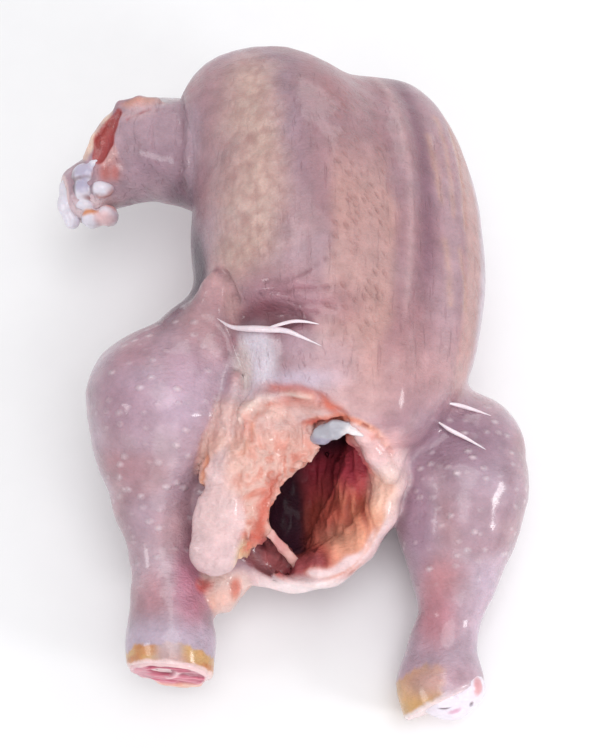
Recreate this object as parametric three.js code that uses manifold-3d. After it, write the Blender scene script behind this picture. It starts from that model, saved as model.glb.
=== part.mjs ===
// A whole raw chicken, plucked and drawn, lying on its back and rolled a little onto its left
// side. The neck end points to +Y and the open belly to -Y, so the bird's right side is at -X.
// Skin and meat are one solid. It is described as a field of distances, made of ellipsoids and
// limbs that run softly into each other, and the surface of the field is meshed on a grid. The
// bones that show at the cut shanks and wings are solids of their own, each in a bore of the
// meat. Millimetres, +Z up, the board is at z = 0.
import * as THREE from 'three';
import { edgeTable, triTable } from 'three/addons/objects/MarchingCubes.js';
import { mergeVertices } from 'three/addons/utils/BufferGeometryUtils.js';
import Module from 'manifold-3d';

const wasm = await Module();
wasm.setup();

// ---- driving dimensions ---------------------------------------------------------------

const GRID_CELL = 6.4;
const GRID_LOW = [-115, -174, -9];
const GRID_HIGH = [113, 158, 130];

const BODY_CENTRE = [21.5, 46.5, 54.5];
const BODY_YAW = 2;
const BODY_PITCH = 8;
const BODY_ROLL = 30;

// Widths over which a form runs softly into what it joins, and over which the hollow's edge,
// the left wing's cut and the edge of the flat on the board are rounded.
const JOIN = { pelvis: 24, breast: 22, shoulder: 17, neckSkin: 20, keelEnd: 17, knee: 7.5,
  legRight: 13, legLeft: 7.5, elbow: 4, wingRight: 4.5, wingLeft: 4, wingCut: 2, back: 15,
  cup: 4.5, tail: 7.5, groin: 9, room: 8, cleft: 5, hollow: 3, rim: 4, lump: 3, bellySkin: 7,
  tongue: 5.5, neck: 13, board: 4 };

// Widths over which the stretches of one limb run into each other.
const BEND = { thigh: 11, drumstick: 6.5, wing: 9.5, elbow: 4, cup: 11, tail: 7.5, groin: 6,
  room: 6, rim: 5, lump: 5, skin: 6, neck: 7.5 };

// Places and half widths in the body's own frame: x across, y to the neck, z to the breast.
const RIB_CAGE = { at: [-4, 2, -2], half: [60.5, 85.5, 51] };
const PELVIS = { at: [0, -72.5, -11], half: [43, 54, 35.5] };
const BREAST = { across: 25, at: [-2, 2, 19.5], half: [36, 82, 35.5], turn: 2, rise: -3 };
const SHOULDER = { across: 39, at: [-2, 54, -9], half: [28, 28, 26] };
const KEEL_END = { at: [0, -59.5, 28], half: [24, 30, 20.5], rise: -10 };
const NECK = { root: [4, 59.5, -24], end: [7.5, 78, -30], rootRadius: 30, endRadius: 20.5 };
const KEEL_RIDGES = [
  { at: 0, height: 1.1, width: 3.7 },
  { at: 11, height: -1.8, width: 7.4 },
  { at: 24, height: 0.6, width: 5.6 },
  { at: -11, height: -0.7, width: 8.4 },
];
const KEEL_OFFSET = 1.9;
const KEEL_SLANT = 0.08;
const KEEL_FADE = { height: [9, 37], tailEnd: [-88, -56], neckEnd: [56, 88] };

// Places on the board's frame.
const BACK = { at: [13.5, 24, 27.5], half: [43, 59.5, 29.5] };
const NECK_SKIN = { at: [-15.5, 113.8, 73], half: [29, 26, 25] };

// Stations of the limbs: centre x, y, z and radius.
const LEG_RIGHT = [
  [-35.5, -4, 65.5, 23], [-51, -24.5, 62, 31.5], [-54, -41, 54.5, 25], [-54, -63, 45, 17],
  [-52, -80, 40.5, 12], [-49, -101.5, 36, 14], [-47.5, -117.5, 34, 17], [-46.5, -141.5, 32, 17],
];
const LEG_LEFT = [
  [82, -34, 36, 21.5], [77, -49, 34, 27.4], [74, -68.5, 30, 24.5], [72, -89, 25.5, 17],
  [69.5, -106.5, 22, 11.5], [66, -120, 19, 13], [65, -134, 18, 17], [67.5, -152, 18, 17],
];
const HIP_RIGHT = { at: [-35, -57.5, -13], radius: 31.5, knee: [-30, -4, 60, 26] };
const HIP_LEFT = { at: [31.5, -57.5, -13], radius: 29, knee: [73, -34, 34, 24] };
const WING_RIGHT = [[-34.5, 91.5, 69.5, 26], [-55.5, 98, 65.5, 21.5], [-72, 101, 60, 19.5],
  [-78, 93, 58, 16.5]];
const ELBOW_RIGHT = [[-82.5, 87, 58, 13], [-93, 81.5, 54.5, 13]];
const WING_LEFT = [[47, 104.5, 35.5, 23.5], [64, 72, 22, 20], [71, 50, 16, 16.5]];
const ELBOW_LEFT = [[72.5, 43, 15, 13.5], [73.5, 33, 14.5, 13.5]];
const ELBOW_LEFT_CUT = { at: [74, 28, 14], facing: [0.1, -0.99, -0.05] };
const TAIL = [[14, -54, 21, 18.5], [-19.5, -84, 30, 9], [-29, -94.5, 30, 11]];

// Belly: the skin cup that holds the opening, the hollow in it, its rim and the skins beside it.
const BELLY_CUP = [[20.5, -30, 37, 37], [9.5, -57.5, 36, 33], [8, -65.5, 39.5, 30.5]];
const HOLLOW = { at: [-3, -22, -2], half: [32, 56, 28] };
const OPENING = { at: [16, -66, 60.5], half: [27.5, 31.5, 40.5] };
const OPENING_LEAN = 22;
const OPENING_TURN = -20;
const OPENING_ROLL = 19;
const PASSAGE = [[14, -50, 50, 15], [18, -6, 50, 20]];
const CLEFT = [[14, -36, 34, 9], [4.5, -52, 28, 8], [1, -68.5, 24, 7]];
const RIM = [[29, -39, 66, 6], [40.5, -45, 60, 9], [44, -54.5, 52, 7], [41, -67.5, 45, 6.5],
  [32, -78.5, 40, 7], [18.5, -87, 36, 7.5], [2, -90, 32, 7], [-12, -88, 32, 7]];
const GROIN = [[-20, -30, 56, 18], [-28, -58, 48, 14], [-27, -80, 40, 10]];
const BELLY_LUMP = [[-10, -81.5, 31, 6.5], [-4, -81, 29, 7]];
const BELLY_SKIN = [[3, -26.5, 82, 15], [-2, -40, 80, 16], [-9, -57, 74, 14],
  [-15.5, -72, 66, 13], [-20, -83, 56, 9.5]];
const BELLY_SKIN_FACE = [0.42, -0.475, 0.927];
const FAT_TONGUE = [[-19, -42, 80, 4.5], [-21.5, -62, 76, 7], [-26, -76, 68, 10],
  [-28, -87.5, 60, 10.5]];
const FAT_TONGUE_FACE = [-0.1, -0.575, 0.927];
const SHEET_FLATNESS = 0.5;

// The cut ends: a point of the cut, the way that it faces, and the knife's width and depth.
const CUTS = {
  shankRight: { at: [-47, -131, 34], facing: [-0.095, -0.99, -0.055], size: [60, 40] },
  shankLeft: { at: [69.7, -139.8, 15.5], facing: [0.4, -0.91, 0.02], size: [60, 40] },
  elbowRight: { at: [-101.6, 77.8, 56.2], facing: [-0.93, -0.25, 0.27], size: [50, 20] },
};

// Bones: centre line from the inner end to the end that shows, the radius of the inner head, the
// shaft and the outer end, and where a pair of joint knuckles caps it, their radius and spacing.
const BONE_GAP = 0.3;
const BONE_SIDES = 12;
const BONE_ROWS = 16;
const BONE_FLARE = 2;
const KNUCKLE_SIDES = 10;
const BONES = {
  tibia_right: { line: [[-50, -34, 58], [-54, -63, 45], [-52, -80, 40.5], [-49, -101.5, 36],
    [-46.5, -138, 33.5]], head: 8, shaft: 4.2, end: 9, cut: CUTS.shankRight },
  tibia_left: { line: [[76, -58, 32], [72, -89, 25.5], [69.5, -106.5, 22], [66, -120, 19],
    [68.5, -137, 16]], head: 8, shaft: 4.2, end: 8, knuckle: 7, spread: [6.5, 3, 0.5] },
  humerus_right: { line: [[-50, 97, 66], [-66, 97, 61.5], [-80, 90, 58], [-97, 80, 56]],
    head: 6.5, shaft: 3.6, end: 5.5, knuckle: 5.2, spread: [-1, 4.6, 1] },
  humerus_left: { line: [[58, 84, 27], [65, 68, 20], [70, 52, 16.5], [73.5, 31, 14.5]],
    head: 6.5, shaft: 3.6, end: 5.5, knuckle: 5.2, spread: [4.6, 0.5, 1] },
};

const MERGE_DISTANCE = 1e-4;
const BOARD_DEPTH = 20;
const BOARD_SLACK = 0.5;

const SKIN = { color: 0xc9a3a2, roughness: 0.42, metalness: 0 };
const BONE = { color: 0xe6dce4, roughness: 0.4, metalness: 0 };

// ---- distance fields ------------------------------------------------------------------

const vector = (a) => new THREE.Vector3(a[0], a[1], a[2]);

// Distance of two forms run into each other over a width.
function blend(a, b, width) {
  const h = Math.max(width - Math.abs(a - b), 0) / width;
  return Math.min(a, b) - h * h * width * 0.25;
}

function carve(a, b, width) {
  return -blend(-a, b, width);
}

// The plane of a cut, positive beyond it.
function planeOf({ at, facing }) {
  return new THREE.Plane().setFromNormalAndCoplanarPoint(vector(facing).normalize(), vector(at));
}

// A turn about z, then x, then y, in degrees, as a matrix from the turned frame to the outer one.
function turn(yaw, pitch, roll) {
  const toRadians = THREE.MathUtils.degToRad;
  const about = new THREE.Euler(toRadians(pitch), toRadians(roll), toRadians(yaw), 'ZXY');
  return new THREE.Matrix4().makeRotationFromEuler(about);
}

// A distance to an ellipsoid, close to the true one near its surface. At its very centre, where
// the slope is nil, it is the least half width.
function ellipsoid(form, frame = null) {
  const centre = vector(form.at);
  const back = frame === null ? null : frame.clone().invert();
  const q = new THREE.Vector3();
  const [a, b, c] = form.half;
  return (p) => {
    q.copy(p).sub(centre);
    if (back !== null) {
      q.applyMatrix4(back);
    }
    const near = Math.hypot(q.x / a, q.y / b, q.z / c);
    const steep = Math.hypot(q.x / (a * a), q.y / (b * b), q.z / (c * c));
    return steep === 0 ? -Math.min(a, b, c) : near * (near - 1) / steep;
  };
}

// A chain of stations [x, y, z, radius], each stretch a cone with round ends.
function limb(stations, width) {
  const points = stations.map(vector);
  const q = new THREE.Vector3();
  const along = new THREE.Vector3();
  return (p) => {
    let distance = Infinity;
    for (let i = 1; i < points.length; i += 1) {
      along.copy(points[i]).sub(points[i - 1]);
      q.copy(p).sub(points[i - 1]);
      const t = THREE.MathUtils.clamp(q.dot(along) / along.lengthSq(), 0, 1);
      const radius = THREE.MathUtils.lerp(stations[i - 1][3], stations[i][3], t);
      const stretch = q.addScaledVector(along, -t).length() - radius;
      distance = distance === Infinity ? stretch : blend(distance, stretch, width);
    }
    return distance;
  };
}

// A limb pressed flat along the way that it faces.
function sheet(stations, facing, width) {
  const normal = vector(facing).normalize();
  const stretch = 1 / SHEET_FLATNESS - 1;
  const press = (p) => p.clone().addScaledVector(normal, stretch * p.dot(normal));
  const pressed = stations.map((s) => [...press(vector(s)).toArray(), s[3]]);
  const chain = limb(pressed, width);
  return (p) => chain(press(p)) * Math.sqrt(SHEET_FLATNESS);
}

// ---- the bird -------------------------------------------------------------------------

const bodyFrame = turn(BODY_YAW, BODY_PITCH, BODY_ROLL).setPosition(...BODY_CENTRE);
const toBody = bodyFrame.clone().invert();
const inBody = (point) => vector(point).applyMatrix4(bodyFrame).toArray();

// The opening's own frame leans back with the belly, turns with its long side and rolls over.
const openingFrame = turn(0, OPENING_LEAN, 0)
  .multiply(turn(OPENING_TURN, 0, 0))
  .multiply(turn(0, 0, OPENING_ROLL));

function makeTorso() {
  const ribs = ellipsoid(RIB_CAGE);
  const pelvis = ellipsoid(PELVIS);
  const keelEnd = ellipsoid(KEEL_END, turn(0, KEEL_END.rise, 0));
  const muscles = [-1, 1].map((side) => ellipsoid({
    at: [side * BREAST.across + BREAST.at[0], BREAST.at[1], BREAST.at[2]], half: BREAST.half,
  }, turn(-side * BREAST.turn, BREAST.rise, 0)));
  const shoulders = [-1, 1].map((side) => ellipsoid({
    at: [side * SHOULDER.across + SHOULDER.at[0], SHOULDER.at[1], SHOULDER.at[2]],
    half: SHOULDER.half,
  }));
  const neckSkin = ellipsoid(NECK_SKIN, turn(0, OPENING_LEAN, 0));
  const q = new THREE.Vector3();
  const step = THREE.MathUtils.smoothstep;
  return (p) => {
    q.copy(p).applyMatrix4(toBody);
    let d = blend(ribs(q), pelvis(q), JOIN.pelvis);
    for (let i = 0; i < 2; i += 1) {
      d = blend(d, muscles[i](q), JOIN.breast);
      d = blend(d, shoulders[i](q), JOIN.shoulder);
    }
    d = blend(d, neckSkin(p), JOIN.neckSkin);
    d = blend(d, keelEnd(q), JOIN.keelEnd);
    const fade = step(q.z, ...KEEL_FADE.height) * step(q.y, ...KEEL_FADE.tailEnd)
      * (1 - step(q.y, ...KEEL_FADE.neckEnd));
    const across = q.x - KEEL_OFFSET - KEEL_SLANT * q.y;
    let ridge = 0;
    for (const { at, height, width } of KEEL_RIDGES) {
      ridge += height * Math.exp(-(((across - at) / width) ** 2));
    }
    return d - fade * ridge;
  };
}

function makeLeg(stations, hip) {
  const thigh = limb([[...inBody(hip.at), hip.radius], hip.knee], BEND.thigh);
  const drumstick = limb(stations, BEND.drumstick);
  return (p) => blend(thigh(p), drumstick(p), JOIN.knee);
}

function makeHollow() {
  const hollow = ellipsoid(HOLLOW);
  const opening = ellipsoid(OPENING, openingFrame);
  const passage = limb(PASSAGE, BEND.room);
  const cleft = limb(CLEFT, BEND.room);
  const q = new THREE.Vector3();
  return (p) => {
    q.copy(p).applyMatrix4(toBody);
    const room = blend(blend(hollow(q), passage(p), JOIN.room), opening(p), JOIN.room);
    return blend(room, cleft(p), JOIN.cleft);
  };
}

function makeBird() {
  const torso = makeTorso();
  const legRight = makeLeg(LEG_RIGHT, HIP_RIGHT);
  const legLeft = makeLeg(LEG_LEFT, HIP_LEFT);
  const wingRight = limb(WING_RIGHT, BEND.wing);
  const elbowRight = limb(ELBOW_RIGHT, BEND.elbow);
  const wingLeft = limb(WING_LEFT, BEND.wing);
  const elbowLeft = limb(ELBOW_LEFT, BEND.elbow);
  const elbowCut = planeOf(ELBOW_LEFT_CUT);
  const back = ellipsoid(BACK);
  const cup = limb(BELLY_CUP, BEND.cup);
  const tail = limb(TAIL, BEND.tail);
  const groin = limb(GROIN, BEND.groin);
  const rim = limb(RIM, BEND.rim);
  const lump = limb(BELLY_LUMP, BEND.lump);
  const bellySkin = sheet(BELLY_SKIN, BELLY_SKIN_FACE, BEND.skin);
  const tongue = sheet(FAT_TONGUE, FAT_TONGUE_FACE, BEND.skin);
  const hollow = makeHollow();
  const neckRoot = [...inBody(NECK.root), NECK.rootRadius];
  const neck = limb([neckRoot, [...inBody(NECK.end), NECK.endRadius]], BEND.neck);
  return (p) => {
    let d = blend(torso(p), legRight(p), JOIN.legRight);
    d = blend(d, legLeft(p), JOIN.legLeft);
    d = blend(d, blend(wingRight(p), elbowRight(p), JOIN.elbow), JOIN.wingRight);
    const wing = blend(wingLeft(p), elbowLeft(p), JOIN.elbow);
    d = blend(d, carve(wing, -elbowCut.distanceToPoint(p), JOIN.wingCut), JOIN.wingLeft);
    d = blend(d, back(p), JOIN.back);
    d = blend(d, cup(p), JOIN.cup);
    d = blend(d, tail(p), JOIN.tail);
    d = blend(d, groin(p), JOIN.groin);
    d = carve(d, hollow(p), JOIN.hollow);
    d = blend(d, rim(p), JOIN.rim);
    d = blend(d, lump(p), JOIN.lump);
    d = blend(d, bellySkin(p), JOIN.bellySkin);
    d = blend(d, tongue(p), JOIN.tongue);
    d = blend(d, neck(p), JOIN.neck);
    return carve(d, p.z + BOARD_SLACK, JOIN.board);
  };
}

// ---- solids ---------------------------------------------------------------------------

// Corners of a grid cell and its twelve edges, in the order of the marching cubes tables.
const CORNERS = [[0, 0, 0], [1, 0, 0], [1, 1, 0], [0, 1, 0], [0, 0, 1], [1, 0, 1], [1, 1, 1],
  [0, 1, 1]];
const EDGES = [[0, 1], [1, 2], [3, 2], [0, 3], [4, 5], [5, 6], [7, 6], [4, 7], [0, 4], [1, 5],
  [2, 6], [3, 7]];
const TABLE_ROW = 16;
const SNAP_SHARE = 0.27;
const SETTLE_REACH = 1.2;
const SLOPE_STEP = 0.4;

// Moves a point onto the surface of a field, along the field's slope.
function settle(p, distance) {
  const here = distance(p);
  const slope = new THREE.Vector3();
  for (const axis of ['x', 'y', 'z']) {
    p[axis] += SLOPE_STEP;
    slope[axis] = (distance(p) - here) / SLOPE_STEP;
    p[axis] -= SLOPE_STEP;
  }
  const reach = THREE.MathUtils.clamp(here / slope.length(), -SETTLE_REACH, SETTLE_REACH);
  p.addScaledVector(slope.normalize(), -reach);
}

// The surface where a distance field is zero, as the corners and triangles of a closed mesh.
function meshField(distance) {
  const count = GRID_LOW.map((low, i) => Math.ceil((GRID_HIGH[i] - low) / GRID_CELL) + 1);
  const nodeAt = (i, j, k) => i + count[0] * (j + count[1] * k);
  const place = (n, target) => target.set(
    GRID_LOW[0] + GRID_CELL * (n % count[0]),
    GRID_LOW[1] + GRID_CELL * (Math.floor(n / count[0]) % count[1]),
    GRID_LOW[2] + GRID_CELL * Math.floor(n / (count[0] * count[1])),
  );
  const p = new THREE.Vector3();
  const q = new THREE.Vector3();
  const total = count[0] * count[1] * count[2];
  const values = new Float64Array(total);
  for (let n = 0; n < total; n += 1) {
    values[n] = distance(place(n, p));
  }
  const corners = [];
  const triangles = [];
  const known = new Map();
  // A crossing near a grid node moves into the node, so that close corners become one.
  const cornerOn = (a, b) => {
    let share = values[a] / (values[a] - values[b]);
    let key = (a + 1) * total + b;
    if (share < SNAP_SHARE) {
      share = 0;
      key = a;
    } else if (share > 1 - SNAP_SHARE) {
      share = 1;
      key = b;
    }
    if (!known.has(key)) {
      known.set(key, corners.length / 3);
      settle(place(a, p).lerp(place(b, q), share), distance);
      corners.push(p.x, p.y, p.z);
    }
    return known.get(key);
  };
  for (let k = 0; k < count[2] - 1; k += 1) {
    for (let j = 0; j < count[1] - 1; j += 1) {
      for (let i = 0; i < count[0] - 1; i += 1) {
        const nodes = CORNERS.map(([di, dj, dk]) => nodeAt(i + di, j + dj, k + dk));
        let kind = 0;
        nodes.forEach((n, bit) => {
          kind |= values[n] < 0 ? 1 << bit : 0;
        });
        if (edgeTable[kind] !== 0) {
          for (let t = kind * TABLE_ROW; triTable[t] !== -1; t += 3) {
            const [a, b, c] = [2, 1, 0].map((j) => {
              const [from, to] = EDGES[triTable[t + j]];
              return cornerOn(nodes[from], nodes[to]);
            });
            if (a !== b && b !== c && c !== a) {
              triangles.push(a, b, c);
            }
          }
        }
      }
    }
  }
  return solidOf(corners, triangles);
}

function solidOf(corners, triangles) {
  return new wasm.Manifold(new wasm.Mesh({
    numProp: 3,
    vertProperties: new Float32Array(corners),
    triVerts: new Uint32Array(triangles),
  }));
}

// A closed three.js geometry as a solid: like corners are merged, empty triangles dropped.
function solidOfGeometry(geometry) {
  const bare = geometry.clone();
  bare.deleteAttribute('normal');
  bare.deleteAttribute('uv');
  const merged = mergeVertices(bare, MERGE_DISTANCE);
  const triangles = [];
  for (let i = 0; i < merged.index.count; i += 3) {
    const [a, b, c] = [0, 1, 2].map((j) => merged.index.getX(i + j));
    if (a !== b && b !== c && c !== a) {
      triangles.push(a, b, c);
    }
  }
  return solidOf(merged.attributes.position.array, triangles);
}

function geometryOf(solid) {
  const mesh = solid.getMesh();
  const geometry = new THREE.BufferGeometry();
  geometry.setAttribute('position', new THREE.BufferAttribute(mesh.vertProperties, mesh.numProp));
  geometry.setIndex(new THREE.BufferAttribute(mesh.triVerts, 1));
  geometry.computeVertexNormals();
  return geometry;
}

// The block that a knife stroke takes off beyond a cut.
function knifeBlock({ at, facing, size: [width, depth] }) {
  const normal = vector(facing).normalize();
  const box = new THREE.BoxGeometry(width, width, depth);
  box.translate(0, 0, depth / 2);
  const aim = new THREE.Quaternion().setFromUnitVectors(new THREE.Vector3(0, 0, 1), normal);
  box.applyQuaternion(aim);
  box.translate(...at);
  return solidOfGeometry(box);
}

function boardBlock() {
  const [width, length] = [0, 1].map((i) => GRID_HIGH[i] - GRID_LOW[i]);
  const box = new THREE.BoxGeometry(width, length, BOARD_DEPTH);
  box.translate(0, 0, -BOARD_DEPTH / 2);
  return solidOfGeometry(box);
}

// A bone: a turned profile, thick at both ends and round, bent along the bone's line. It grows by
// a gap to become the bore that the bone lies in.
function makeBone(bone, grow) {
  const curve = new THREE.CatmullRomCurve3(bone.line.map(vector));
  const length = curve.getLength();
  const profile = [];
  for (let i = 0; i <= BONE_ROWS; i += 1) {
    const angle = Math.PI * i / BONE_ROWS;
    const s = length * (1 - Math.cos(angle)) / 2;
    const inner = (bone.head - bone.shaft) * Math.exp(-((s / (BONE_FLARE * bone.head)) ** 2));
    const toEnd = (length - s) / (BONE_FLARE * bone.end);
    const outer = (bone.end - bone.shaft) * Math.exp(-(toEnd ** 2));
    const round = Math.min(1, s / bone.head, (length - s) / bone.end);
    const radius = (bone.shaft + inner + outer) * Math.sqrt(round * (2 - round));
    const isPole = i === 0 || i === BONE_ROWS;
    profile.push(new THREE.Vector2(isPole ? 0 : radius + grow, s - grow * Math.cos(angle)));
  }
  const shape = new THREE.LatheGeometry(profile, BONE_SIDES);
  const position = shape.attributes.position;
  const p = new THREE.Vector3();
  for (let i = 0; i < position.count; i += 1) {
    p.fromBufferAttribute(position, i);
    const share = THREE.MathUtils.clamp(p.y / length, 0, 1);
    const forward = curve.getTangentAt(share);
    const side = new THREE.Vector3(0, 0, 1).cross(forward).normalize();
    const over = side.clone().cross(forward);
    const beyond = p.y - share * length;
    const on = curve.getPointAt(share).addScaledVector(forward, beyond);
    on.addScaledVector(side, p.x).addScaledVector(over, p.z);
    position.setXYZ(i, on.x, on.y, on.z);
  }
  let solid = solidOfGeometry(shape);
  if (bone.knuckle !== undefined) {
    const end = bone.line[bone.line.length - 1];
    for (const side of [-1, 1]) {
      const ball = new THREE.SphereGeometry(bone.knuckle + grow, KNUCKLE_SIDES, KNUCKLE_SIDES / 2);
      ball.translate(...end.map((value, i) => value + side * bone.spread[i]));
      solid = solid.add(solidOfGeometry(ball));
    }
  }
  return bone.cut === undefined || grow > 0 ? solid : solid.subtract(knifeBlock(bone.cut));
}

function makeCarcass() {
  let solid = meshField(makeBird()).decompose().reduce((a, b) => (a.volume() > b.volume() ? a : b));
  solid = solid.subtract(boardBlock());
  for (const cut of Object.values(CUTS)) {
    solid = solid.subtract(knifeBlock(cut));
  }
  for (const bone of Object.values(BONES)) {
    solid = solid.subtract(makeBone(bone, BONE_GAP));
  }
  return solid;
}

const bird = new THREE.Group();

function addPiece(name, solid, look) {
  const mesh = new THREE.Mesh(geometryOf(solid), new THREE.MeshStandardMaterial(look));
  mesh.name = name;
  bird.add(mesh);
}

addPiece('carcass', makeCarcass(), SKIN);
for (const [name, bone] of Object.entries(BONES)) {
  addPiece(name, makeBone(bone, 0), BONE);
}

export default bird;
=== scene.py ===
"""A whole raw chicken, plucked and drawn, on its back and rolled a little onto its left side.

Shapes are worked out in millimetres in the part's own frame and scaled to metres where a mesh is
made. Colours are written as screen colours from 0 to 255, and turned into light where they are
used.
"""

import bpy
import numpy as np
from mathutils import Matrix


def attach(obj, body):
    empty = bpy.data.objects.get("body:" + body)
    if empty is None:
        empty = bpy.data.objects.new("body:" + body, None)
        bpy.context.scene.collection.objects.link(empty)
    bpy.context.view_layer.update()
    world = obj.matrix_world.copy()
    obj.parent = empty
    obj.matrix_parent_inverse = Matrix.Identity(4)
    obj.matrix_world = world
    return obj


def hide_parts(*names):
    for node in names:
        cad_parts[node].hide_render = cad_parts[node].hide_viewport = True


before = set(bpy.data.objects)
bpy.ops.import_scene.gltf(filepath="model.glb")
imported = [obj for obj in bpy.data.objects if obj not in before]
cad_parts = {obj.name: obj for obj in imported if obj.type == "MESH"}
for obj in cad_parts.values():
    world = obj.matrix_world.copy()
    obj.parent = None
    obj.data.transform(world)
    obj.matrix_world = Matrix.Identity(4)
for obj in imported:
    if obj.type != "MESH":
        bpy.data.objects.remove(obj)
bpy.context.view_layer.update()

# ---- the board, the light and the eye ---------------------------------------------------
# The bird lies on a plain white board. A wide soft window hangs above it, and one stands at its
# feet and one at its head. A small low one on each side puts the wet glints on the skin.

MM = 0.001
EYE_TARGET = (4.4 * MM, -7.8 * MM, 52.5 * MM)
EYE_DISTANCE = 511.5 * MM
EYE_ELEVATION = np.radians(68)
LENS = 56.59
SENSOR = 36.0
BOARD_SIDE = 6.0
BOARD_PAINT = (246, 246, 248)
BOARD_TOOTH = 3
ROOM_LIGHT = 0.55
WINDOWS = {
    "window_above": {"at": (0.10, -0.10, 1.05), "size": 0.7, "power": 4.3},
    "window_right": {"at": (0.75, -0.40, 0.42), "size": 0.2, "power": 1.9},
    "window_left": {"at": (-0.70, -0.35, 0.50), "size": 0.2, "power": 0.8},
    "window_feet": {"at": (0.10, -0.85, 0.30), "size": 0.5, "power": 1.6},
    "window_head": {"at": (0.25, 0.80, 0.55), "size": 0.5, "power": 2.0},
}


def light_of(paint):
    """Screen colour 0 to 255 as linear light, with an alpha of one."""
    share = np.asarray(paint, float) / 255
    linear = np.where(share <= 0.04045, share / 12.92, ((share + 0.055) / 1.055) ** 2.4)
    return (*linear, 1.0)


def place(tree, kind, inputs=None, **settings):
    """Adds a shader node. An input is linked where it is a socket and set where it is a value."""
    node = tree.nodes.new(kind)
    for name, value in settings.items():
        setattr(node, name, value)
    for key, value in (inputs or {}).items():
        if isinstance(value, bpy.types.NodeSocket):
            tree.links.new(value, node.inputs[key])
        else:
            node.inputs[key].default_value = value
    return node


def new_material(name, **sockets):
    """A material with its own Principled shader, whose constant sockets are set here."""
    material = bpy.data.materials.new(name)
    material.use_nodes = True
    shader = material.node_tree.nodes["Principled BSDF"]
    for key, value in sockets.items():
        shader.inputs[key.replace("_", " ")].default_value = value
    return material, material.node_tree, shader


def object_places(tree):
    """The places of the surface in the object's own frame, in metres."""
    return place(tree, "ShaderNodeTexCoord").outputs["Object"]


def noise(tree, at, **inputs):
    """Noise from 0 to 1 at the given places, at a scale of one unless another is given."""
    inputs = {"Vector": at, "Scale": 1.0, **inputs}
    return place(tree, "ShaderNodeTexNoise", inputs).outputs["Fac"]


def tint(tree, share, colour, paint):
    """Mixes a screen paint into a colour by a share."""
    return place(tree, "ShaderNodeMixRGB", {"Fac": share, "Color1": colour,
                                            "Color2": light_of(paint)}).outputs["Color"]


def lay_board():
    """One flat square under the bird, with a faint tooth in its paint."""
    mesh = bpy.data.meshes.new("board")
    half = BOARD_SIDE / 2
    corners = [(-half, -half, 0), (half, -half, 0), (half, half, 0), (-half, half, 0)]
    mesh.from_pydata(corners, [], [(0, 1, 2, 3)])
    board = bpy.data.objects.new("board", mesh)
    bpy.context.scene.collection.objects.link(board)
    material, tree, shader = new_material("white_board", Roughness=0.85)
    tooth = noise(tree, object_places(tree), Scale=60.0)
    paint = tint(tree, tooth, light_of(BOARD_PAINT), np.array(BOARD_PAINT) - BOARD_TOOTH)
    tree.links.new(paint, shader.inputs["Base Color"])
    mesh.materials.append(material)


def look_at(thing, target):
    """Turns a camera or a lamp so that its -Z axis points at the target."""
    way = np.array(target) - np.array(thing.location)
    flat = np.hypot(way[0], way[1])
    thing.rotation_euler = (np.arctan2(flat, -way[2]), 0, np.arctan2(way[1], way[0]) - np.pi / 2)


def light_and_eye():
    """The window lamps, the room's grey light and the camera."""
    scene = bpy.context.scene
    for name, window in WINDOWS.items():
        lamp = bpy.data.lights.new(name, "AREA")
        lamp.shape = "SQUARE"
        lamp.size = window["size"]
        lamp.energy = window["power"]
        thing = bpy.data.objects.new(name, lamp)
        thing.location = window["at"]
        look_at(thing, EYE_TARGET)
        scene.collection.objects.link(thing)
    world = bpy.data.worlds.new("room")
    world.use_nodes = True
    world.node_tree.nodes["Background"].inputs["Color"].default_value = (1, 1, 1, 1)
    world.node_tree.nodes["Background"].inputs["Strength"].default_value = ROOM_LIGHT
    scene.world = world
    scene.view_settings.view_transform = "Standard"
    lens = bpy.data.cameras.new("eye")
    lens.lens = LENS
    lens.sensor_width = SENSOR
    lens.clip_start = 0.01
    eye = bpy.data.objects.new("eye", lens)
    eye.location = (EYE_TARGET[0], EYE_TARGET[1] - EYE_DISTANCE * np.cos(EYE_ELEVATION),
                    EYE_TARGET[2] + EYE_DISTANCE * np.sin(EYE_ELEVATION))
    eye.rotation_euler = (np.pi / 2 - EYE_ELEVATION, 0, 0)
    scene.collection.objects.link(eye)
    scene.camera = eye


lay_board()
light_and_eye()

# ---- the carcass and the upper wings ------------------------------------------------------
# Skin and meat in one skin-tight form: a field of distances, made of ellipsoids and limbs that
# run softly into each other, with a net laid over it where it is zero, finer round the belly.
# Each upper wing is a net of its own, whose root lies inside the body.

# Limbs are chains of stations, each x, y, z and radius. Ribs, pelvis, breasts, shoulders, upper
# belly, nape, chest and hips are in the body's own frame, and all the rest is in the part's. A
# pressed sheet faces the way that it is thin along, a cut the side that falls away. Each ridge
# of the keel is a place across it, a height and a width.
BODY_CENTRE = np.array([21.5, 46.5, 54.5])
BODY_TURN = {"yaw": 2, "pitch": 8, "roll": 30}
RIBS = {"at": (-4, 2, -2), "half": (60.5, 85.5, 51)}
PELVIS = {"at": (0, -72.5, -11), "half": (43, 54, 35.5)}
BREAST_RIGHT = {"at": (-27, 2, 19.5), "half": (36, 82, 35.5), "yaw": 2, "pitch": -3}
BREAST_LEFT = {"at": (23, 2, 19.5), "half": (36, 82, 35.5), "yaw": -2, "pitch": -3}
SHOULDER_RIGHT = {"at": (-41, 54, -9), "half": (28, 28, 26)}
SHOULDER_LEFT = {"at": (37, 54, -9), "half": (28, 28, 26)}
UPPER_BELLY = {"at": (0, -59.5, 28), "half": (24, 30, 20.5), "pitch": -10}
NECK_SKIN = {"at": (-15.5, 113.8, 73), "half": (29, 26, 25), "pitch": 22}
NAPE = [((4, 59.5, -24), 30), ((7.5, 78, -30), 20.5)]
BACK = {"at": (13.5, 24, 27.5), "half": (43, 59.5, 29.5)}
CHEST = {"at": (-3, -22, -2), "half": (32, 56, 28)}
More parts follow.
